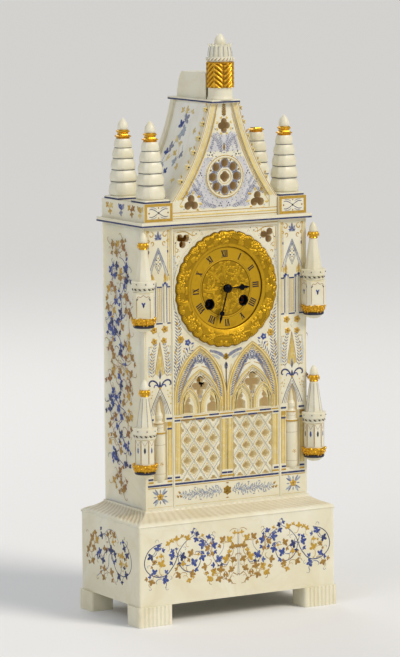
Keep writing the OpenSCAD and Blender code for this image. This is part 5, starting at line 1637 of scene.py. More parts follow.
def paintPilasters():
    coat = newCoat("front_pilasters", onFront, mirror=True)
    mid, spire, fleur = pilaster["middle"], pilaster["spire"], pilaster["fleur"]
    # white fillets and gilt edges
    addLine(coat, "alabaster", [(60, 110), (60, 250), (60, 381.5)], 1.7, 0.7)
    addLine(coat, "straw", [(61.4, 200), (61.4, 290), (61.4, 381)], 0.5)
    addLine(coat, "straw", [(89.6, 200), (89.6, 290), (89.6, 381)], 0.6)
    # head: fleuron, scrolls, gablet, lozenge
    for a, length, paint in ((90, 8.6, "lilac"), (52, 6.6, "lilac"), (128, 6.6, "lilac"), (14, 4.6, "blue"),
                             (166, 4.6, "blue")):
        addLeaf(coat, paint, mid, 370.4, a, length, 0.42, 0.25)
    addLeaf(coat, "navy", mid, 370.6, 90, 5.6, 0.28, 0.4)
    addBar(coat, "lilac", mid - 3.4, 369.4, mid + 3.4, 370.3, 0.2)
    gablet = ((11.4, 1, 334.6, 0), (5.8, 0.5, 349, 0), (0, 0, 362, 1.7))
    for s in (-1, 1):
        for du, v, r, a, sweep in ((7.6, 374.6, 3.2, 90, 300), (6.6, 366.4, 2.5, 270, -290),
                                   (10.6, 368.4, 1.7, 40, 280), (11.2, 377, 1.6, 200, -280)):
            addCurl(coat, "gold", mid + 0.2 * s + s * du, v, r, a if s > 0 else 180 - a, sweep * s, 1.2)
        for off, paint, width in ((0, "lilac", 0.9), (1.9, "paleBlue", 0.6), (3.1, "lilac", 0.5)):
            line = [(mid + s * (u - off * pull), v - off * fall) for u, pull, v, fall in gablet]
            addLine(coat, paint, line, width, 0.16)
        addLine(coat, "lilac", [(mid, 360), (mid + 5.2 * s, 348.4), (mid, 337)], 0.6, 0.2)
        addLine(coat, "navy", [(mid, 357.6), (mid + 3.6 * s, 348.4), (mid, 339.6)], 0.35, 0.2)
        # paint, distance from the middle, height, direction, length, width, crown
        for paint, du, v, a, length, width, crown in (
                ("navy", 10.4, 360.4, 270, 4.6, 0.36, 0.25), ("lilac", 10.4, 364, 270, 3.4, 0.3, 0.2),
                ("gold", 7.2, 327.6, 90, 11.5, 0.3, 0.3), ("straw", 5.4, 328, 100 - 10 * s, 8, 0.3, 0.2),
                ("straw", 9.4, 328, 80 - 10 * s, 8, 0.3, 0.2)):
            addLeaf(coat, paint, mid + du * s, v, a, length, width, crown)
        addDot(coat, "navy", mid + s * 7.4, 327.6, 1.5, 0.4)
    for paint, spots in (("gold", ((0, 0),)), ("umber", ((0, 3.6), (0, -3.6))),
                         ("navy", ((1.7, 1.8), (-1.7, 1.8), (1.7, -1.8), (-1.7, -1.8)))):
        for du, dv in spots:
            addDot(coat, paint, mid + du, 348.4 + dv, 0.75, 0.3, 8)
    for x, paint, width in ((62.8, "straw", 1.6), (64.6, "gold", 0.7), (87.6, "straw", 1.4),
                            (86, "gold", 0.6)):
        addLine(coat, paint, [(x, 330), (x, 354), (x, 379)], width, 0.1)
    # paired shafts
    for x in pilaster["shafts"]:
        addLine(coat, "blue", [(x, 290), (x, 306), (x, 325.6)], 0.8, 0.3)
        addLine(coat, "alabaster", [(x + 2.3, 290), (x + 2.3, 306), (x + 2.3, 326.5)], 3.0, 0.9)
        addLine(coat, "lilac", [(x + 4.2, 290), (x + 4.2, 306), (x + 4.2, 325)], 0.5, 0.2)
        addBar(coat, "blue", x - 0.8, 324.8, x + 4.6, 327.4, 0.5)
    for x, paint, width in ((63.2, "gold", 0.8), (72, "umber", 0.6), (73.6, "gold", 0.9),
                            (75.2, "straw", 0.8),
                            (76.6, "umber", 0.5), (84.6, "gold", 0.9), (86.4, "straw", 0.8)):
        addLine(coat, paint, [(x, 290.5), (x, 306), (x, 323)], width, 0.12)
    for u0, u1, v in ((62.2, 65.4, 323.4), (71.4, 77, 323.4), (84, 88.4, 323.4), (62.2, 65.6, 288.4),
                      (70.8, 77.8, 288.4),
                      (82.6, 88.2, 288.4)):
        addBar(coat, "navy", u0, v, u1, v + 1.3, 0.2)
    # flowers, spire and leaves
    for u, v, r in ((80.4, 283, 4.2), (68.4, 283.4, 4.2), (80.2, 272, 3.8), (69.4, 272.4, 3.8)):
        addFlower(coat, "gold", "russet", u, v, r, 5, 70, 0.35)
        addDots(coat, "umber", u, v, 2.2, 0.4, 5, 106)
    addPatch(coat, "alabaster", [(74.4, 281.6), (72.2, 278), (74.4, 274.4), (76.6, 278)], 0.5, 0.5)
    addPatch(coat, "straw", [(74.2, 270.6), (69.2, 240.6), (74.2, 236.4), (79.4, 240.6)], 0.16, 0.86)
    for paint, line in (("umber", ((0, 271), (-3.2, 254), (-5.4, 240))),
                        ("umber", ((0, 271), (3.2, 254), (5.6, 240))),
                        ("gold", ((0, 266), (-1.6, 254), (-2.6, 243))),
                        ("gold", ((0, 266), (1.6, 254), (2.8, 243)))):
        width = 0.5 if paint == "umber" else 0.4
        addLine(coat, paint, [(spire + du, v) for du, v in line], width, 0.24)
    for s in (-1, 1):
        inner = ((7.6, 236), (8.8, 246), (8, 256), (5.4, 268))
        outer = ((11.8, 238), (12.4, 252), (11.6, 266))
        addFeather(coat, "lilac", [(spire + u * s, v) for u, v in inner], 5.8, 3.0, 40, 0.28, 0.35,
                   "straw", 0.16, "navy")
        for k in range(5):
            addDot(coat, "gold" if k % 2 else "straw", spire + (11.4 - 0.5 * k) * s, 239 + 7 * k, 1.1, 0.3,
                   8)
        addFeather(coat, "paleBlue", [(spire + u * s, v) for u, v in outer], 2.6, 1.5, 36, 0.4, 0.3, None,
                   0.14)
    addLeaf(coat, "lilac", spire, 234.6, 90, 12.6, 0.32, 0.4)
    addLeaf(coat, "navy", spire, 235, 90, 8.4, 0.18, 0.55)
    # dark blue fleur and its small leaves
    arm = ((0.8, 227.6), (4, 232.4), (8, 234.4), (11.2, 233.2), (12, 230.4), (10.4, 229.4))
    spur = ((0.6, 227), (3.4, 229.8), (5.8, 229.6), (6.6, 227.4))
    for s in (-1, 1):
        addStroke(coat, "navy", [(fleur + u * s, v) for u, v in arm], 1.7, 0.4)
        addStroke(coat, "blue", [(fleur + u * s, v) for u, v in spur], 1.2, 0.35)
        for off, paint, width in ((0, "navy", 0.7), (2.2, "lilac", 0.6), (4.2, "navy", 0.45),
                                  (6, "lilac", 0.5)):
            addLine(coat, paint, [(fleur + s * (11.6 - off), 201), (fleur + s * (7.4 - off * 0.66), 212),
                                  (fleur + 0.3 * s, 226 - off * 1.5)], width, 0.18)
        for u, v in ((8.6, 224), (11.4, 221), (9.6, 218), (12.6, 226), (13.2, 215.6), (11.8, 211)):
            addDot(coat, "straw", fleur + s * u, v, 1.0, 0.16, 8)
        addDots(coat, "gold", fleur + s * 11, 219.6, 2.4, 0.6, 5)
    addLeaf(coat, "navy", fleur, 226.6, 90, 7.4, 0.34, 0.5)
    addDot(coat, "gold", fleur, 227, 1.4, 0.6)
    finishCoat(coat)


# the frieze's middle line, and the middle of its corner square
frieze = {"height": 121, "corner": 75}


def paintFrieze():
    # pale blue feathered scrolls, gold flowers and the two corner squares
    coat = newCoat("front_frieze", onFront, mirror=True)
    v, u = frieze["height"], frieze["corner"]
    wave = ((5, 119.5), (14, 123), (24, 119), (34, 122.6), (43, 119), (49.5, 121))
    addFeather(coat, "paleBlue", wave, 6.0, 2.2, 58, 0.3, 0.2, "lilac", 0.14, "lilac")
    wave = ((5, 122.5), (14, 119), (24, 123), (34, 118.6), (43, 122.6), (49.5, 120))
    addFeather(coat, "lilac", wave, 5.0, 3.0, 66, 0.24, 0.2)
    for x, z in ((12, 126.4), (24, 126.8), (36, 126.6), (18, 115), (30, 114.6), (42, 115.4)):
        addLeaf(coat, "lilac", x - 1.6, z, 8, 3.4, 0.4, 0.14)
    addFlower(coat, "gold", "umber", 0, v, 5.2, 6, 90, 0.4)
    addDots(coat, "navy", 0, v, 2.6, 0.45, 6)
    for z in (113.8, 128.2):
        addLeaf(coat, "umber", -2, z, 0, 4, 0.4, 0.2)
    for x, z in ((53.4, 123.2), (52, 119.4), (55.2, 119.4)):
        addDot(coat, "umber", x, z, 1.2, 0.3)
        addDot(coat, "gold", x + 0.9, z + 0.9, 0.9, 0.25)
    for a in (45, 135, 225, 315):
        c, s = polar(1, a)
        addLeaf(coat, "paleBlue", u + 2.2 * c, v + 2 * s, a - 12, 9.4, 0.34, 0.2)
        addLeaf(coat, "lilac", u + 2.2 * c, v + 2 * s, a + 12, 8.6, 0.3, 0.2)
        addStroke(coat, "navy", [(u + 4 * c, v + 3 * s), (u + 11 * c, v + 7.6 * s)], 0.4, 0.3)
    for a in (0, 90, 180, 270):
        c, s = polar(1, a)
        addLeaf(coat, "lilac", u + 3.6 * c, v + 3.2 * s, a, 4.6, 0.4, 0.16)
    addFlower(coat, "gold", "umber", u, v, 4.2, 5, 90, 0.45)
    addDots(coat, "navy", u, v, 2.3, 0.55, 5, 54)
    addLine(coat, "straw", [(0, 111), (30, 111), (58.4, 111)], 0.5)
    addLine(coat, "straw", [(61.6, 111), (75, 111), (89, 111)], 0.5)
    finishCoat(coat)


# gilt rings, thin brown lines and a small gold figure on the two half round towers
nicheTower = {
    "middle": (74.6, -34.8), "figure": 153.4, "radius": 6.5, "petals": 5,
    # radius, foot, height, thickness, paint
    "bands": ((6.9, 182.5, 1.8, 0.16, "gold"), (5.5, 191.9, 1.0, 0.14, "gold"),
              (6.5, 171.8, 0.5, 0.08, "umber"), (6.5, 143.6, 0.45, 0.08, "umber"),
              (5.0, 188.4, 0.4, 0.08, "russet")),
}


def addBand(form, cx, cy, radius, foot, tall, thick, key):
    # the front half of a ring, let 0.3 mm into the stone
    steps = 28
    verts, faces = [], []
    inner, outer = radius - 0.3, radius + thick
    for i in range(steps + 1):
        for r, z in ((inner, 0), (outer, 0.15), (outer, tall - 0.15), (inner, tall)):
            verts.append((*polar(r, 185 + 170 * i / steps, cx, cy), foot + z))
    for i in range(steps):
        for j in range(4):
            k = (j + 1) % 4
            faces.append((4 * i + j, 4 * i + 4 + j, 4 * i + 4 + k, 4 * i + k))
    faces += [(0, 1, 2, 3), (4 * steps + 3, 4 * steps + 2, 4 * steps + 1, 4 * steps)]
    addMesh(form, verts, faces, key)


def makeNicheTowers():
    form = newForm()
    x, cy = nicheTower["middle"]
    for cx in (-x, x):
        for row in nicheTower["bands"]:
            addBand(form, cx, cy, *row)
        for i in range(nicheTower["petals"]):
            u, v = polar(1.5, 270 + 360 * i / nicheTower["petals"])
            out = math.sqrt(nicheTower["radius"] ** 2 - u * u) - 0.45
            addMotif(form, ballMotif(0.75), "gold", (cx + u, cy - out, nicheTower["figure"] + v))
        addMotif(form, ballMotif(0.8), "umber", (cx, cy - 6.2, nicheTower["figure"]))
    finishForm("niche_tower_rings", form)


makeLattice()
paintPosts()
paintStringCourse()
makeTracery()
paintHead()
paintPilasters()
paintFrieze()
makeNicheTowers()
print("front painted")


# sides: a climbing vine, blue leaves among gold ones, mirrored on the right
# how far the paint stands up, the width of a curl, and the sizes that leaves take in turn
vine = {"proud": 0.12, "curlWidth": 0.5, "sizes": (5.5, 5.0, 4.5)}
# leaves: u, v, and a size where it is another one
vineBlue = [(-16, 341), (-27, 336), (-19, 332), (1, 338, 5.4), (5, 342), (-1, 323), (4, 327), (-17, 307),
            (-9, 311), (-8, 296), (-14, 288, 5.8), (-31, 292), (-25, 286), (-32, 281), (-27, 278),
            (-18, 278), (-24, 275), (-8, 264), (-10, 258), (0, 246, 3.2), (-12, 234), (-10, 225, 5.4),
            (-24, 218), (-19, 213), (-31, 210), (-25, 206), (-15, 203, 5.4), (-31, 199), (-8, 195),
            (-18, 184), (-9, 177), (-2, 168), (3, 164), (-20, 158), (-27, 155), (-20, 152),
            (0, 150, 5.4)]


vineGold = [(-24, 361), (-12, 362), (-4, 366), (-2, 359), (-15, 354), (-8, 337), (-8, 329), (-25, 323),
            (-20, 317), (-31, 317), (1, 314), (5, 310), (-33, 300), (-22, 297), (3, 298), (10, 297),
            (-6, 282), (9, 275), (-30, 264), (-26, 258), (1, 267), (7, 264), (-22, 252), (1, 254),
            (13, 254), (-22, 240, 5.2), (-26, 236), (-31, 229), (-10, 240), (3, 240), (12, 238),
            (3, 225, 5.2), (8, 223), (7, 217), (-5, 209), (-20, 194), (4, 195), (10, 196), (-31, 184),
            (4, 180), (-22, 174), (-31, 168), (-11, 161, 5), (-12, 141), (-18, 136), (-25, 130, 5),
            (-10, 130), (-3, 127), (-6, 122)]


vineStems = [
    ("blue", 1.0, [(-20, 346), (-24, 338), (-21, 328)]),
    ("blue", 1.0, [(-10, 350), (-1, 347), (4, 338), (1, 326), (-5, 316), (-14, 309), (-24, 303)]),
    ("blue", 1.1, [(-8, 311), (-6, 300), (-12, 290), (-4, 291), (2, 296)]),
    ("blue", 1.0, [(-33, 294), (-28, 285), (-26, 277), (-14, 273), (-8, 266), (-10, 255), (-2, 249)]),
    ("blue", 1.1, [(-14, 239), (-9, 231), (-9, 221), (-17, 214), (-23, 208), (-28, 200)]),
    ("blue", 1.0, [(-27, 217), (-20, 213), (-13, 205), (-4, 202), (1, 199)]),
    ("blue", 1.1, [(-10, 199), (-7, 192), (-14, 186), (-12, 179), (-4, 171), (2, 165), (6, 158)]),
    ("blue", 0.9, [(-29, 157), (-21, 156), (-14, 152), (-4, 148), (2, 151)]),
    ("umber", 0.8, [(-26, 366), (-18, 362), (-12, 355), (-14, 348)]),
    ("umber", 0.8, [(-2, 370), (-6, 362), (-13, 356)]),
    ("umber", 0.8, [(-31, 322), (-24, 320), (-18, 313), (-22, 304), (-31, 298)]),
    ("umber", 0.8, [(8, 318), (2, 311), (3, 303), (8, 296), (8, 284), (9, 274), (4, 266)]),
    ("umber", 0.9, [(-31, 268), (-26, 259), (-18, 250), (-8, 246), (4, 246), (12, 250)]),
    ("umber", 0.8, [(-27, 246), (-16, 243), (-6, 244), (6, 237), (13, 236)]),
    ("umber", 0.8, [(-33, 226), (-28, 234), (-20, 242)]),
    ("umber", 0.8, [(2, 232), (5, 223), (6, 215), (0, 209), (-8, 208)]),
    ("umber", 0.7, [(-24, 197), (-20, 192), (-26, 186), (-32, 182)]),
    ("umber", 0.7, [(12, 199), (5, 194), (4, 184), (2, 176)]),
    ("umber", 0.7, [(-33, 170), (-24, 172), (-14, 165), (-9, 158)]),
    ("umber", 0.8, [(-8, 146), (-13, 139), (-20, 133), (-28, 128)]),
    ("umber", 0.7, [(-14, 136), (-8, 129), (-3, 124), (-7, 118)]),
]


def paintSide(name, place):
    coat = newCoat(name, place)
    for paint, width, points in vineStems:
        addStroke(coat, paint, points, width, vine["proud"])
    for paints, rows in ((("navy", "blue", "blue"), vineBlue),
                         (("umber", "gold", "umber", "russet"), vineGold)):
        for k, (u, v, *given) in enumerate(rows):
            size = given[0] if given else vine["sizes"][k % 3]
            addSprig(coat, paints[k % len(paints)], u, v, (k * 137) % 360, size)
            if k % 3 == 0:
                addCurl(coat, paints[0], u + (5 if k % 2 else -5), v - 4, 2.0, 90 * k, 230,
                        vine["curlWidth"])
    finishCoat(coat)


paintSide("side_left_vine", facing("left", -91))
paintSide("side_right_vine", facing("right", 91))
print("sides painted")


# base moulding: a bead and a hollow slope worked into slanted gadroons
moulding = {"foot": 96, "halfLength": 110, "halfDepth": 58, "pitch": 7.6, "depthEnds": 1.2,
            "depthFront": 0.55, "slant": 12.0, "corner": 5.0, "pointsAlong": 232, "pointsAcross": 124}


def makeMoulding():
    # how far in as a share, rise
    profile = [(0.02, 0), (0, 0.02), (-0.03, 1.2), (0.02, 2.6), (0.12, 4), (0.18, 4.5), (0.25, 5.1),
               (0.37, 5.8), (0.5, 6.6), (0.64, 7.9), (0.78, 9.4), (0.87, 10.6), (0.93, 11.6), (0.93, 13)]
    form = newForm()
    rings, relief = [], []
    for share, rise in profile:
        x1 = moulding["halfLength"] - 19 * share
        y0, y1 = -moulding["halfDepth"] + 20 * share, moulding["halfDepth"] - 15 * share
        corners = [(x1, y0), (x1, y1), (-x1, y1), (-x1, y0)]
        ring = []
        cut = max(0.0, min(1.0, (rise - 3.2) / 1.6)) * max(0.0, min(1.0, (12.2 - rise) / 1.2))
        for k in range(4):
            (ax, ay), (bx, by) = corners[k], corners[(k + 1) % 4]
            length = math.hypot(bx - ax, by - ay)
            depth = moulding["depthFront"] if k % 2 else moulding["depthEnds"]
            full = 2 * (moulding["halfLength"] if k % 2 else moulding["halfDepth"])
            count = moulding["pointsAlong"] if k % 2 else moulding["pointsAcross"]
            for i in range(count):
                t = i / count
                fade = min(1.0, min(t, 1 - t) * full / moulding["corner"])
                phase = ((t - 0.5) * full + moulding["slant"] * (rise - 4) / 9) / moulding["pitch"]
                groove = depth * (1 - abs(math.sin(math.pi * phase)) ** 0.7)
                drop = groove * cut * fade
                # darker in the grooves, and a little over the whole gadrooned band
                relief.append(1 - 0.45 * drop - 0.3 * cut)
                nx, ny = (by - ay) / length, -(bx - ax) / length
                ring.append((ax + (bx - ax) * t - nx * drop * 0.5, ay + (by - ay) * t - ny * drop * 0.5,
                             moulding["foot"] + rise - drop * 0.8))
        rings.append(ring)
    addLoft(form, rings, "aged")
    piece = finishForm("base_moulding_gadrooned", form, sharp=50, nodes=("base_moulding",))
    markRelief(piece, relief)


makeMoulding()
print("moulding ready")


# gable: gilt lines on its ribs, the rose, leafy fields and crockets
def gableEdge(z, inset=0.0):
    # half width of the gable at a height, measured in from its hollow slope
    return slope["x"] - math.sqrt((slope["radius"] + inset) ** 2 - (z - slope["z"]) ** 2)


# the face of the gable, its ground 1 mm deeper, and the faces of its crockets
onGable = facing("front", -37)
onGableGround = facing("front", -36)
onCrocket = facing("front", -34.5)
# the rose and the small openings in the gable: middle, and radius kept clear of leaves
gable = {"rose": (0, 426.5), "corner": (37.2, 402.6), "top": (0, 475.5), "clear": (22.6, 9.6, 8.5),
         "crockets": 6, "crocketPitch": 13.6}


def ringLine(coat, paint, radius, width, crown, sides=48, start=0.0, end=360.0):
    points = [polar(radius, start + (end - start) * i / sides, *gable["rose"]) for i in range(sides + 1)]
    addLine(coat, paint, points, width, crown)


def paintGable():
    raised = newCoat("gable_lines", onGable, mirror=True)
    ground = newCoat("gable_leaves", onGableGround, mirror=True)
    for inset, paint, width in ((4.5, "wash", 3.2), (0.7, "gold", 0.8), (2.5, "straw", 0.7),
                                (6.4, "straw", 0.7),
                                (8.5, "gold", 0.8)):
        low, high = 404.6 + inset * 0.3, 496.8
        line = [(gableEdge(low + (high - low) * i / 24, inset),
                 low + (high - low) * i / 24) for i in range(25)]
        addLine(raised, paint, line, width, 0.06 if width > 2 else 0.14)
    for v, paint, width in ((394.2, "gold", 0.9), (391.2, "straw", 1.6), (388.6, "gold", 0.8)):
        addLine(raised, paint, [(0, v), (29, v), (58.6, v)], width, 0.12)
    addLine(raised, "gold", [(58.8, 387), (58.8, 396), (58.8, 404)], 0.8, 0.12)
    addLine(ground, "straw", [(gableEdge(z, 9.8), z) for z in range(397, 492, 5)], 0.8, 0.2)
    rose = newCoat("gable_rose", onGable)
    for radius, paint, width, crown in ((20.5, "gold", 0.8, 0.2), (19.3, "alabaster", 1.5, 0.5),
                                        (18.0, "straw", 0.8, 0.2), (8.0, "alabaster", 1.7, 0.7),
                                        (6.7, "straw", 0.5, 0.3)):
        ringLine(rose, paint, radius, width, crown)
    for k in range(8):
        for paint, reaches, width, crown in (("lilac", (9.0, 12, 15.2), 1.2, 0.3),
                                             ("navy", (9.4, 12, 15), 0.35, 0.4)):
            spoke = [polar(r, 22.5 + 45 * k, *gable["rose"]) for r in reaches]
            addLine(rose, paint, spoke, width, crown)
        ringLine(rose, "lilac", 17.4, 0.7, 0.2, 8, 45 * k - 10, 45 * k + 10)
        eye = polar(13.1, 45 * k, *gable["rose"])
        addLine(rose, "lilac", [polar(4.5, 22.5 * i, *eye) for i in range(17)], 1.0, 0.2)
    for stem, reach, paint in (
            (((23, 404), (27, 410), (32, 416), (35.5, 421)), 4.2, "lilac"),
            (((45, 408), (40, 411.5), (35, 414), (29, 416)), 3.4, "lilac"),
            (((26, 417), (29, 421), (31.6, 425)), 3.0, "paleBlue"),
            (((8, 397.6), (14, 398.8), (20, 401), (25.5, 404.5)), 3.4, "lilac"),
            (((2.6, 449), (4.4, 455), (7.4, 461), (10.6, 465)), 3.8, "lilac"),
            (((2.2, 455), (3.4, 461), (5.6, 467)), 3.0, "paleBlue"),
            (((14.5, 452), (13.4, 458), (11.6, 463)), 2.6, "lilac")):
        addFeather(ground, paint, stem, reach * 1.15, 2.0, 42, 0.36, 0.3, stem="lilac", crown=0.18,
                   vein="lilac")
    # a pale ground and small leaves fill the fields round the rose
    low = [(0, 397), (27, 397), (28, 402), (30, 408), (34.5, 412)]
    low += [(gableEdge(v, 10) - 1.2, v) for v in range(413, 446, 4)] + [(11.8, 445.6)]
    low += [polar(22, a, *gable["rose"]) for a in range(54, -91, -9)]
    addBlock(ground, "haze", low, 0.04)
    high = [(0, 451)] + [(gableEdge(v, 10) - 1.2, v) for v in range(451, 470, 3)] + [(5.6, 468.4),
                                                                                     (0, 466.4)]
    addBlock(ground, "haze", high, 0.04)
    holes = [(*gable[name], clear) for name, clear in zip(("rose", "corner", "top"), gable["clear"])]
    for row in range(23):
        v = 397.6 + 3.5 * row
        for column in range(1, 14):
            u = 3.6 * column - (1.8 if row % 2 else 0.4)
            room = [math.hypot(u - x, v - z) - clear for x, z, clear in holes]
            if min(room) > 0 and gableEdge(v, 10) - u - 2.6 > 0:
                paint = ("lilac", "paleBlue", "lilac")[(row + column) % 3]
                addLeaf(ground, paint, u, v, 60 + 70 * ((row + 2 * column) % 3), 3.3, 0.4, 0.13)
    for u, v in ((15, 448.6), (26.6, 429.5), (4.6, 399.4)):
        addDots(ground, "enamel", u, v, 1.7, 0.85)
    for u, v in ((12.5, 446.4), (18, 445.6), (28.6, 434), (24.4, 437), (30, 424.4)):
        addDot(ground, "umber", u, v, 0.6, 0.18, 8)
    addLeaf(ground, "gold", 0, 450.4, 90, 9.4, 0.34, 0.3)
    addFeather(ground, "gold", ((0, 483.6), (0, 488), (0, 494.4)), 4.4, 1.9, 44, 0.5, 0.3, stem="gold",
               crown=0.25)
    for k in range(9):
        du, dv = polar(1, 20 + 40 * k)
        addLeaf(ground, "gold" if k % 2 else "straw", gable["corner"][0] + 8.4 * du,
                gable["corner"][1] + 8.2 * dv, 45 + 40 * k, 5.2, 0.62, 0.4)
    for k in range(8):
        addLeaf(ground, "straw", *polar(6.6, 22.5 + 45 * k, *gable["top"]), 42.5 + 45 * k, 3.4, 0.6, 0.25)
    knobs = newCoat("gable_crockets", onCrocket, mirror=True)
    for k in range(gable["crockets"]):
        z = 491.5 - gable["crocketPitch"] * k
        x = gableEdge(z) + 1.2
        for a, size in ((0, 3.2), (55, 3.4), (110, 3.0), (-55, 3.0), (-110, 2.6), (170, 2.8)):
            addLeaf(knobs, "straw" if a % 2 else "wash", x, z, a - 25, size, 0.8, 1.0)
        addDot(knobs, "enamel", x - 0.2, z, 0.95, 1.4, 8)
        addLeaf(knobs, "gold", x - 1.6, z - 4.4, 250, 4.0, 0.5, 0.8)
        addLeaf(knobs, "gold", x - 0.8, z + 3.4, 80, 3.6, 0.5, 0.8)
    for coat in (raised, ground, rose, knobs):
        finishCoat(coat)


paintGable()


# parapets, cornice, cap and roof sides
def paintParapet():
    blocks = newCoat("parapet_front_marks", facing("front", -39.5), mirror=True)
    for row in ((59.7, 387, 90.3, 389.6), (59.7, 401.6, 90.3, 404.3), (59.7, 389.6, 62.4, 401.6),
                (87.6, 389.6, 90.3, 401.6)):
        addBar(blocks, "gold", *row, 0.12)
    mid, high = 75, 395.5
    arm = ((0.8, 0.5), (4, 2.6), (7, 3.7), (10.2, 3.5))
    spur = ((2.0, 3.6), (5, 5.1), (9, 5.3))
    for su in (-1, 1):
        for sv in (-1, 1):
            addStroke(blocks, "navy", [(mid + u * su, high + v * sv) for u, v in arm], 0.8)
            addStroke(blocks, "lilac", [(mid + u * su, high + v * sv) for u, v in spur], 0.7)
        addDot(blocks, "umber", mid + 10.4 * su, high, 1.0)
        addDot(blocks, "umber", mid, high + 4.9 * su, 0.8)
    addDot(blocks, "enamel", mid, high, 1.1, 0.3)
    finishCoat(blocks)
    # sprigs, every second one turned over: place, paints of the leaves, paint of the stem
    sprigs = ((-29, ("gold", "straw", "gold"), "umber"), (-6, ("lilac", "blue", "lilac"), "navy"),
              (14, ("gold", "russet", "umber"), "umber"), (31, ("straw", "gold", "straw"), "straw"))
    for side, at in (("left", -90.5), ("right", 90.5)):
        strip = newCoat("parapet_%s_sprigs" % side, facing(side, at))
        for k, (u, leaves, stem) in enumerate(sprigs):
            flip = -1 if k % 2 else 1
            addStroke(strip, stem, [(u - 4 * flip, 399), (u, 395), (u + 1.5 * flip, 390.5)], 0.7)
            for (du, dv, a), paint in zip(((-4, 3, 140), (3.4, 3, 40), (0.6, -2, 280)), leaves):
                addIvy(strip, paint, u + du * flip, high + 0.1 + dv, a, 4.2, 0.2)
            addIvy(strip, leaves[1], u + 0.4, 396.8, 90, 3.4, 0.2)
        finishCoat(strip)


def paintEdges():
    # deep blue lines on the edges of the cornice, the cap and the pinnacles' plates
    # name, middle, half width, front, back, low, high
    rows = [("cornice", 0, 94.9, -42.5, 47.4, 382.3, 383.9), ("cap", 0, 15.4, -40.5, 45.4, 497.7, 499.2)]
    rows += [("plate_" + name, x, 13.6, y - 13.7, y + 13.6, 404.6, 406.1)
             for name, (x, y) in pinnacle["spots"].items()]
    out, into = 0.08, 0.1
    for name, x, half, front, back, low, high in rows:
        form = newForm()
        for ax, bx, ay, by in ((x - half, x + half, front - out, front + into),
                               (x - half - into - out, x - half + into, front, back),
                               (x + half - into, x + half + into + out, front, back)):
            corners = [(ax, ay), (bx, ay), (bx, by), (ax, by)]
            addLoft(form, [[(px, py, z) for px, py in corners] for z in (low, high)], "navy")
        finishForm(name + "_blue_edge", form)


def onRoof(sign):
    # the roof's slope, 3 mm inside that of the gable
    radius = slope["radius"] + 3

    def place(u, v, h):
        x, y = gableEdge(v, 3.0), -u if sign < 0 else u
        nx, nz = (slope["x"] - x) / radius, (slope["z"] - v) / radius
        return (sign * (x + nx * h), y, v + nz * h)
    return place


# sprigs and stems on a roof side: u, v and size of a sprig; paint and points of a stem
roofWork = {
    "blue": ((-6, 480, 5.5), (-12, 474, 5.0), (-4, 470, 5.5), (-9, 465, 4.4), (-20, 453, 5.0),
             (-24, 447, 4.2), (-2, 440, 4.6), (-24, 436, 5.0), (4, 447, 3.6), (-12, 430, 3.6)),
    "gold": ((-8, 489, 4.2), (3, 487, 3.6), (-15, 488, 4.0), (-12, 461, 4.2), (-4, 458, 3.6),
             (-18, 443, 3.8),
             (-8, 447, 4.2), (-28, 426, 4.2), (6, 436, 3.8), (10, 424, 3.8), (14, 470, 3.6),
             (18, 452, 3.4)),
    "stems": (("lilac", [(-12, 484), (-6, 476), (-8, 466), (-14, 458), (-22, 450), (-26, 438)]),
              ("straw", [(-16, 490), (-8, 486), (2, 488)]),
              ("straw", [(-14, 463), (-6, 456), (0, 446), (-2, 436)]),
              ("lilac", [(-3, 440), (4, 448), (2, 456)]), ("straw", [(-28, 430), (-20, 440), (-10, 446)])),
}


def paintRoof():
    for name, sign in (("roof_left", -1), ("roof_right", 1)):
        coat = newCoat(name + "_sprigs", onRoof(sign))
        for k, (u, v, size) in enumerate(roofWork["blue"]):
            paint = ("lilac", "blue", "paleBlue", "paleBlue")[k % 4]
            addIvy(coat, paint, u, v, 40 + 83 * k, size * 1.35, 0.15)
        for k, (u, v, size) in enumerate(roofWork["gold"]):
            addIvy(coat, "wash" if k % 2 else "straw", u, v, 71 * k, size * 1.2, 0.15)
        for paint, points in roofWork["stems"]:
            addStroke(coat, paint, points, 0.7, 0.12)
        finishCoat(coat)


paintParapet()
paintEdges()
paintRoof()
print("gable, parapets and roof painted")


# stage, light and camera
def makeStage():
    mesh = bpy.data.meshes.new("floor")
    mesh.from_pydata([(-40, -40, 0), (40, -40, 0), (40, 40, 0), (-40, 40, 0)], [], [(0, 1, 2, 3)])
    floor = bpy.data.objects.new("floor", mesh)
    scene.collection.objects.link(floor)
    material, tree, shader = newMaterial("paper_matt_pale")
    shader.inputs["Base Color"].default_value = tone("floor")
    shader.inputs["Roughness"].default_value = 0.9
    mesh.materials.append(material)
    world = bpy.data.worlds.new("studio")
    scene.world = world
    world.use_nodes = True
    tree = world.node_tree
    light = tree.nodes["Background"]
    light.inputs["Color"].default_value = tone("sky")
    light.inputs["Strength"].default_value = 0.5
    seen = addNode(tree, "Background", {"Color": tone("backdrop"), "Strength": 1.0})
    path = addNode(tree, "LightPath")
    mix = addNode(tree, "MixShader", {}, {0: path.outputs["Is Camera Ray"], 1: light.outputs[0],
                                          2: seen.outputs[0]})
    tree.links.new(mix.outputs[0], tree.nodes["World Output"].inputs["Surface"])


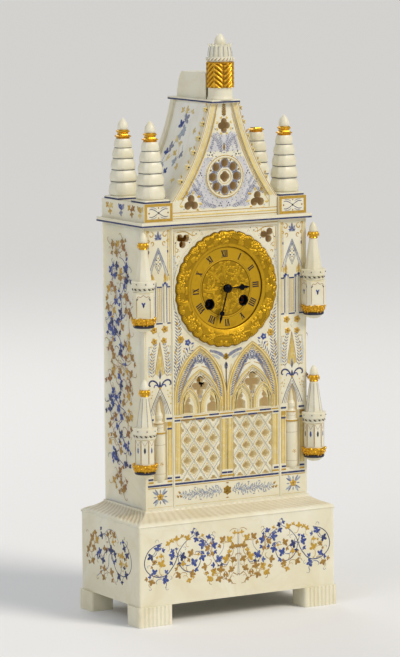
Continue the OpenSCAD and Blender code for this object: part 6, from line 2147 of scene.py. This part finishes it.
def addSun(name, toLight, strength, softness, colour="white"):
    # even light over the object and the whole floor
    data = bpy.data.lights.new(name, "SUN")
    data.energy = strength
    data.angle = math.radians(softness)
    data.color = tone(colour)[:3]
    lamp = bpy.data.objects.new(name, data)
    scene.collection.objects.link(lamp)
    lamp.rotation_euler = Vector(toLight).to_track_quat("Z", "Y").to_euler()


def addLamp(name, spot, aim, size, power, colour="white"):
    data = bpy.data.lights.new(name, "AREA")
    data.size = size
    data.energy = power
    data.color = tone(colour)[:3]
    lamp = bpy.data.objects.new(name, data)
    scene.collection.objects.link(lamp)
    lamp.location = spot
    lamp.rotation_euler = (Vector(aim) - Vector(spot)).to_track_quat("-Z", "Y").to_euler()


# the camera, fitted to the edges of the base, the body and the gable: degrees, mm, pixels
view = {"yaw": 30.229, "pitch": 7.262, "roll": -0.438, "lens": 201.97, "sensor": 36,
        "spot": (-1801.4, -3078.9, 729.8), "width": 400, "height": 657}


def placeCamera():
    yaw, pitch, roll = [math.radians(view[name]) for name in ("yaw", "pitch", "roll")]
    ahead = Vector((math.sin(yaw) * math.cos(pitch), math.cos(yaw) * math.cos(pitch), -math.sin(pitch)))
    right = Vector((math.cos(yaw), -math.sin(yaw), 0))
    up = right.cross(ahead)
    right, up = (math.cos(roll) * right + math.sin(roll) * up,
                 -math.sin(roll) * right + math.cos(roll) * up)
    data = bpy.data.cameras.new("camera")
    data.sensor_width = view["sensor"]
    data.lens = view["lens"]
    data.clip_start, data.clip_end = 0.1, 50
    camera = bpy.data.objects.new("camera", data)
    scene.collection.objects.link(camera)
    turn = Matrix((right, up, -ahead)).transposed().to_4x4()
    camera.matrix_world = Matrix.Translation(Vector(view["spot"]) * mm) @ turn
    scene.camera = camera


makeStage()
addSun("key", (0.45, -0.8, 0.75), 1.9, 22, "warmLight")
addLamp("fill", (-2.2, -0.9, 2.1), (0, 0, 0.4), 1.6, 17, "coolLight")
addLamp("rim", (0.4, 1.8, 1.7), (0, 0, 0.35), 1.0, 8)
placeCamera()
scene.render.resolution_x = view["width"]
scene.render.resolution_y = view["height"]
scene.view_settings.view_transform = "Standard"
print("stage ready")
